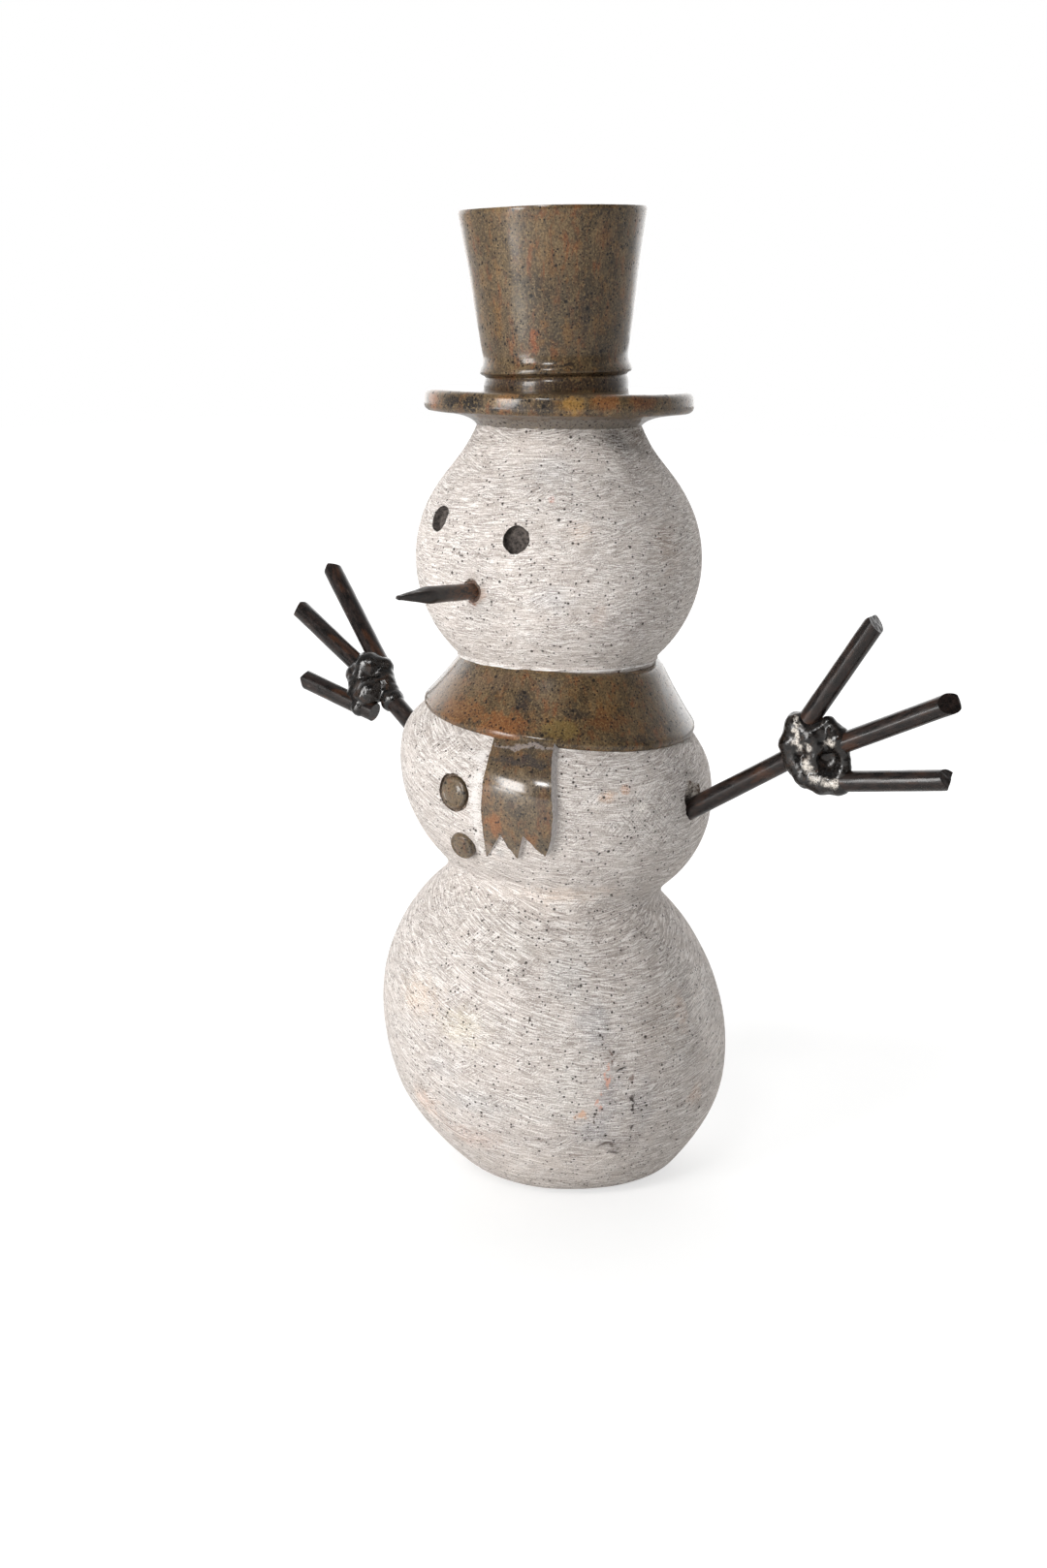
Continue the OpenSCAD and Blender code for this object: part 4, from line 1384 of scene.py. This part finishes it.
# Each finger: inner end along the arm and above it, its angle in the fan, its length.
# Each blob: above the arm, sideways, along the arm, radius. Sideways is away from the fan's plane.
ARMS = {
    "left": {
        "roll": 3.0, "reach": 45.2, "stop": 3.4, "seed": 101,
        "fingers": [(0.5, 6.4, 25.5, 41.8), (10.5, -3.2, -6.1, 37.6), (-1.0, -11.0, -23.6, 40.4)],
        "ends": [[(44.9, -1.85, 0.0), (40.56, 0.44, 0.0)], [(35.8, -0.2, -0.75)],
                 [(39.7, 0.5, 0.4), (39.4, -0.6, -0.4)]],
        "blobs": [(7.4, 0.0, -0.3, 4.6), (3.5, 0.0, -4.5, 4.6), (-0.9, 0.0, -6.2, 4.5),
                  (-6.5, 0.0, -5.0, 4.7), (-10.4, 0.0, -1.35, 4.6), (-13.2, 0.0, 2.85, 3.8),
                  (2.5, 0.0, 2.1, 5.0), (-2.9, 0.0, 1.3, 4.4), (-1.2, 0.0, 9.3, 3.8),
                  (4.2, 0.0, 8.7, 2.4), (-7.8, 0.0, 8.1, 2.0), (-5.2, 0.0, 8.9, 2.2),
                  (-10.0, 0.0, 6.7, 2.2), (-6.4, -1.4, 4.3, 2.6), (-8.2, -1.2, 4.6, 2.2)],
        "craters": [(-5.8, 3.4, 4.35, 4.2, 2.2)],
        "powder": [(9.6, 4.0, 2.0, 1.3, 1.0), (8.0, 4.3, 1.1, 1.3, 1.0), (6.4, 4.5, 0.3, 1.4, 1.0),
                   (4.8, 4.6, -0.5, 1.5, 1.0), (3.2, 4.7, -1.2, 1.8, 1.0), (1.2, 4.6, -1.0, 1.7, 0.9),
                   (0.2, 4.6, 1.0, 1.8, 0.8), (-1.3, 4.0, 7.2, 2.6, 1.0), (-3.4, 4.5, -1.6, 2.0, 0.9),
                   (-5.2, 4.4, -2.8, 2.2, 0.9), (-7.4, 4.4, -2.2, 1.7, 0.7),
                   (-9.3, 4.3, -1.5, 2.2, 0.9), (-11.6, 3.8, 0.8, 1.8, 0.8),
                   (-12.7, 3.5, 2.8, 2.2, 0.9)],
    },
    "right": {
        "roll": 38.6, "reach": 43.9, "stop": 4.0, "seed": 151,
        "fingers": [(-2.0, 4.3, 12.0, 48.2), (5.0, -0.7, -4.9, 36.8), (-11.7, -7.3, -21.1, 31.8)],
        "ends": [[(47.8, 0.6, 0.2), (47.2, -0.7, 0.1)], [(35.5, 0.35, 0.5), (35.3, -0.55, 0.0)],
                 [(30.8, 0.7, 0.0), (31.1, -0.3, 0.4)]],
        "blobs": [(1.6, -1.5, 2.9, 5.0), (5.1, 0.0, -0.6, 3.6), (-3.6, -1.5, -5.4, 4.7),
                  (-5.0, 0.0, 0.2, 4.0), (-3.8, 0.0, 5.0, 3.2), (-8.9, 0.0, -2.0, 3.4),
                  (-7.9, 0.0, -8.2, 2.7), (1.5, 0.0, -5.9, 4.1), (0.0, 0.0, -12.6, 4.0),
                  (-10.0, -0.5, -6.6, 3.3), (-9.6, 0.0, -4.2, 3.3)],
        "craters": [],
        "powder": [(-6.0, -3.0, -3.0, 1.2, 0.2)],
    },
}


# Levels of the surroundings behind the figure, beside it and in front of it.
WORLD_BACK = 1.7
WORLD_SIDE = 0.68
WORLD_FRONT = 0.10
# To the camera the floor is part lit paper and part backdrop white, as an over-lit studio floor is.
FLOOR_FADE = 330.0
FLOOR_GLOW = 1.2
FLOOR_SHARE = 0.55
FLOOR_SIZE = 4000.0
CAMERA_LENS = 55.6
CAMERA_PLACE = (451.7, -609.9, 274.5)
CAMERA_AIM = (-0.6008, 0.7758, -0.1923)
# Each softbox: name, azimuth right of the camera, elevation, distance and size in m, power, colour,
# and whether polished surfaces mirror it.
LIGHTS = [
    ("key", -44.0, 15.0, 1.5, (0.46, 0.66), 16.5, (1.0, 0.985, 0.97), True),
    ("low", -50.0, -3.0, 1.2, (0.3, 0.16), 1.6, (1.0, 1.0, 1.0), True),
    ("top", -14.0, 36.0, 1.3, (0.24, 0.16), 4.0, (1.0, 1.0, 1.0), True),
    ("rim", 130.0, -2.0, 1.4, (0.4, 0.7), 2.2, (1.0, 1.0, 1.0), False),
]


def soft_light(name, azimuth, elevation, distance, size, power, colour, mirrored):
    """A softbox aimed at the middle of the figure."""
    middle = (cad_low + cad_high) / 2
    angle = math.radians(CAMERA_AZ + azimuth)
    lift = math.radians(elevation)
    back = Vector((math.cos(angle) * math.cos(lift), math.sin(angle) * math.cos(lift), math.sin(lift)))
    data = bpy.data.lights.new(name, "AREA")
    data.shape = "RECTANGLE"
    data.size, data.size_y = size
    data.energy = power
    data.color = colour
    lamp = bpy.data.objects.new(name, data)
    lamp.location = middle + back * distance
    lamp.rotation_mode = "QUATERNION"
    lamp.rotation_quaternion = (-back).to_track_quat("-Z", "Y")
    bpy.context.scene.collection.objects.link(lamp)
    lamp.visible_glossy = mirrored


def build_world():
    """White to the camera; for lighting, very bright behind the figure and dim in front of it."""
    graph = Graph("world_levels")
    world = bpy.data.worlds.new("studio")
    bpy.context.scene.world = world
    world.use_nodes = True
    bpy.data.materials.remove(graph.material)
    graph.tree = world.node_tree
    graph.tree.nodes.clear()
    direction = graph.node("ShaderNodeTexCoord").outputs["Generated"]
    ahead = graph.vector("DOT_PRODUCT", direction, FACING).outputs["Value"]
    backdrop = graph.span(ahead, -0.90, -0.30, WORLD_BACK, 0.0, smooth=True)
    room = graph.span(ahead, -0.6, 0.5, WORLD_SIDE, WORLD_FRONT)
    values = {"Factor": graph.camera_ray(), "A": graph.plus(backdrop, room), "B": 1.0}
    level = graph.node("ShaderNodeMix", values).outputs["Result"]
    values = {"Color": (1.0, 1.0, 1.0, 1.0), "Strength": level}
    background = graph.node("ShaderNodeBackground", values)
    graph.node("ShaderNodeOutputWorld", {"Surface": background.outputs[0]})


def build_floor():
    """A plain pale floor whose far parts run out into the white of the backdrop."""
    graph = Graph("studio_floor_paper")
    cloud = graph.noise(graph.coords(300.0))
    colour = graph.mix(cloud, linear(243, 243, 242), linear(246, 246, 245))
    material = graph.finish(colour, 0.75, Specular_IOR_Level=0.2)
    paper = next(n for n in graph.tree.nodes if n.type == "BSDF_PRINCIPLED")
    out = next(n for n in graph.tree.nodes if n.type == "OUTPUT_MATERIAL")
    white = graph.node("ShaderNodeEmission", {"Strength": FLOOR_GLOW})
    near = graph.spot((10.0, 10.0, 0.0), (FLOOR_FADE, FLOOR_FADE, FLOOR_FADE), 0.62)
    share = graph.span(graph.math("SUBTRACT", 1.0, near), 0.0, 1.0, FLOOR_SHARE, 1.0)
    values = {0: graph.times(share, graph.camera_ray()), 1: paper.outputs[0], 2: white.outputs[0]}
    blend = graph.node("ShaderNodeMixShader", values)
    graph.tree.links.new(blend.outputs[0], out.inputs["Surface"])
    square = [(-1, -1), (1, -1), (1, 1), (-1, 1)]
    corners = np.array([(x * FLOOR_SIZE, y * FLOOR_SIZE, -0.02) for x, y in square])
    floor = mesh_object("studio_floor", corners, [(0, 1, 2, 3)])
    floor.data.materials.append(material)


def build_camera():
    data = bpy.data.cameras.new("view")
    data.lens = CAMERA_LENS
    data.sensor_width = 36.0
    camera = bpy.data.objects.new("view", data)
    camera.location = Vector(CAMERA_PLACE) * MM
    camera.rotation_mode = "QUATERNION"
    camera.rotation_quaternion = Vector(CAMERA_AIM).to_track_quat("-Z", "Y")
    bpy.context.scene.collection.objects.link(camera)
    bpy.context.scene.camera = camera


def main():
    materials = make_materials()
    build_stone(materials)
    build_nail(materials["nail"])
    build_glue(materials["glue"])
    for side in ("left", "right"):
        build_arm(side, materials)
    build_floor()
    build_world()
    for spec in LIGHTS:
        soft_light(*spec)
    build_camera()
    bpy.context.scene.view_settings.view_transform = "Standard"


main()
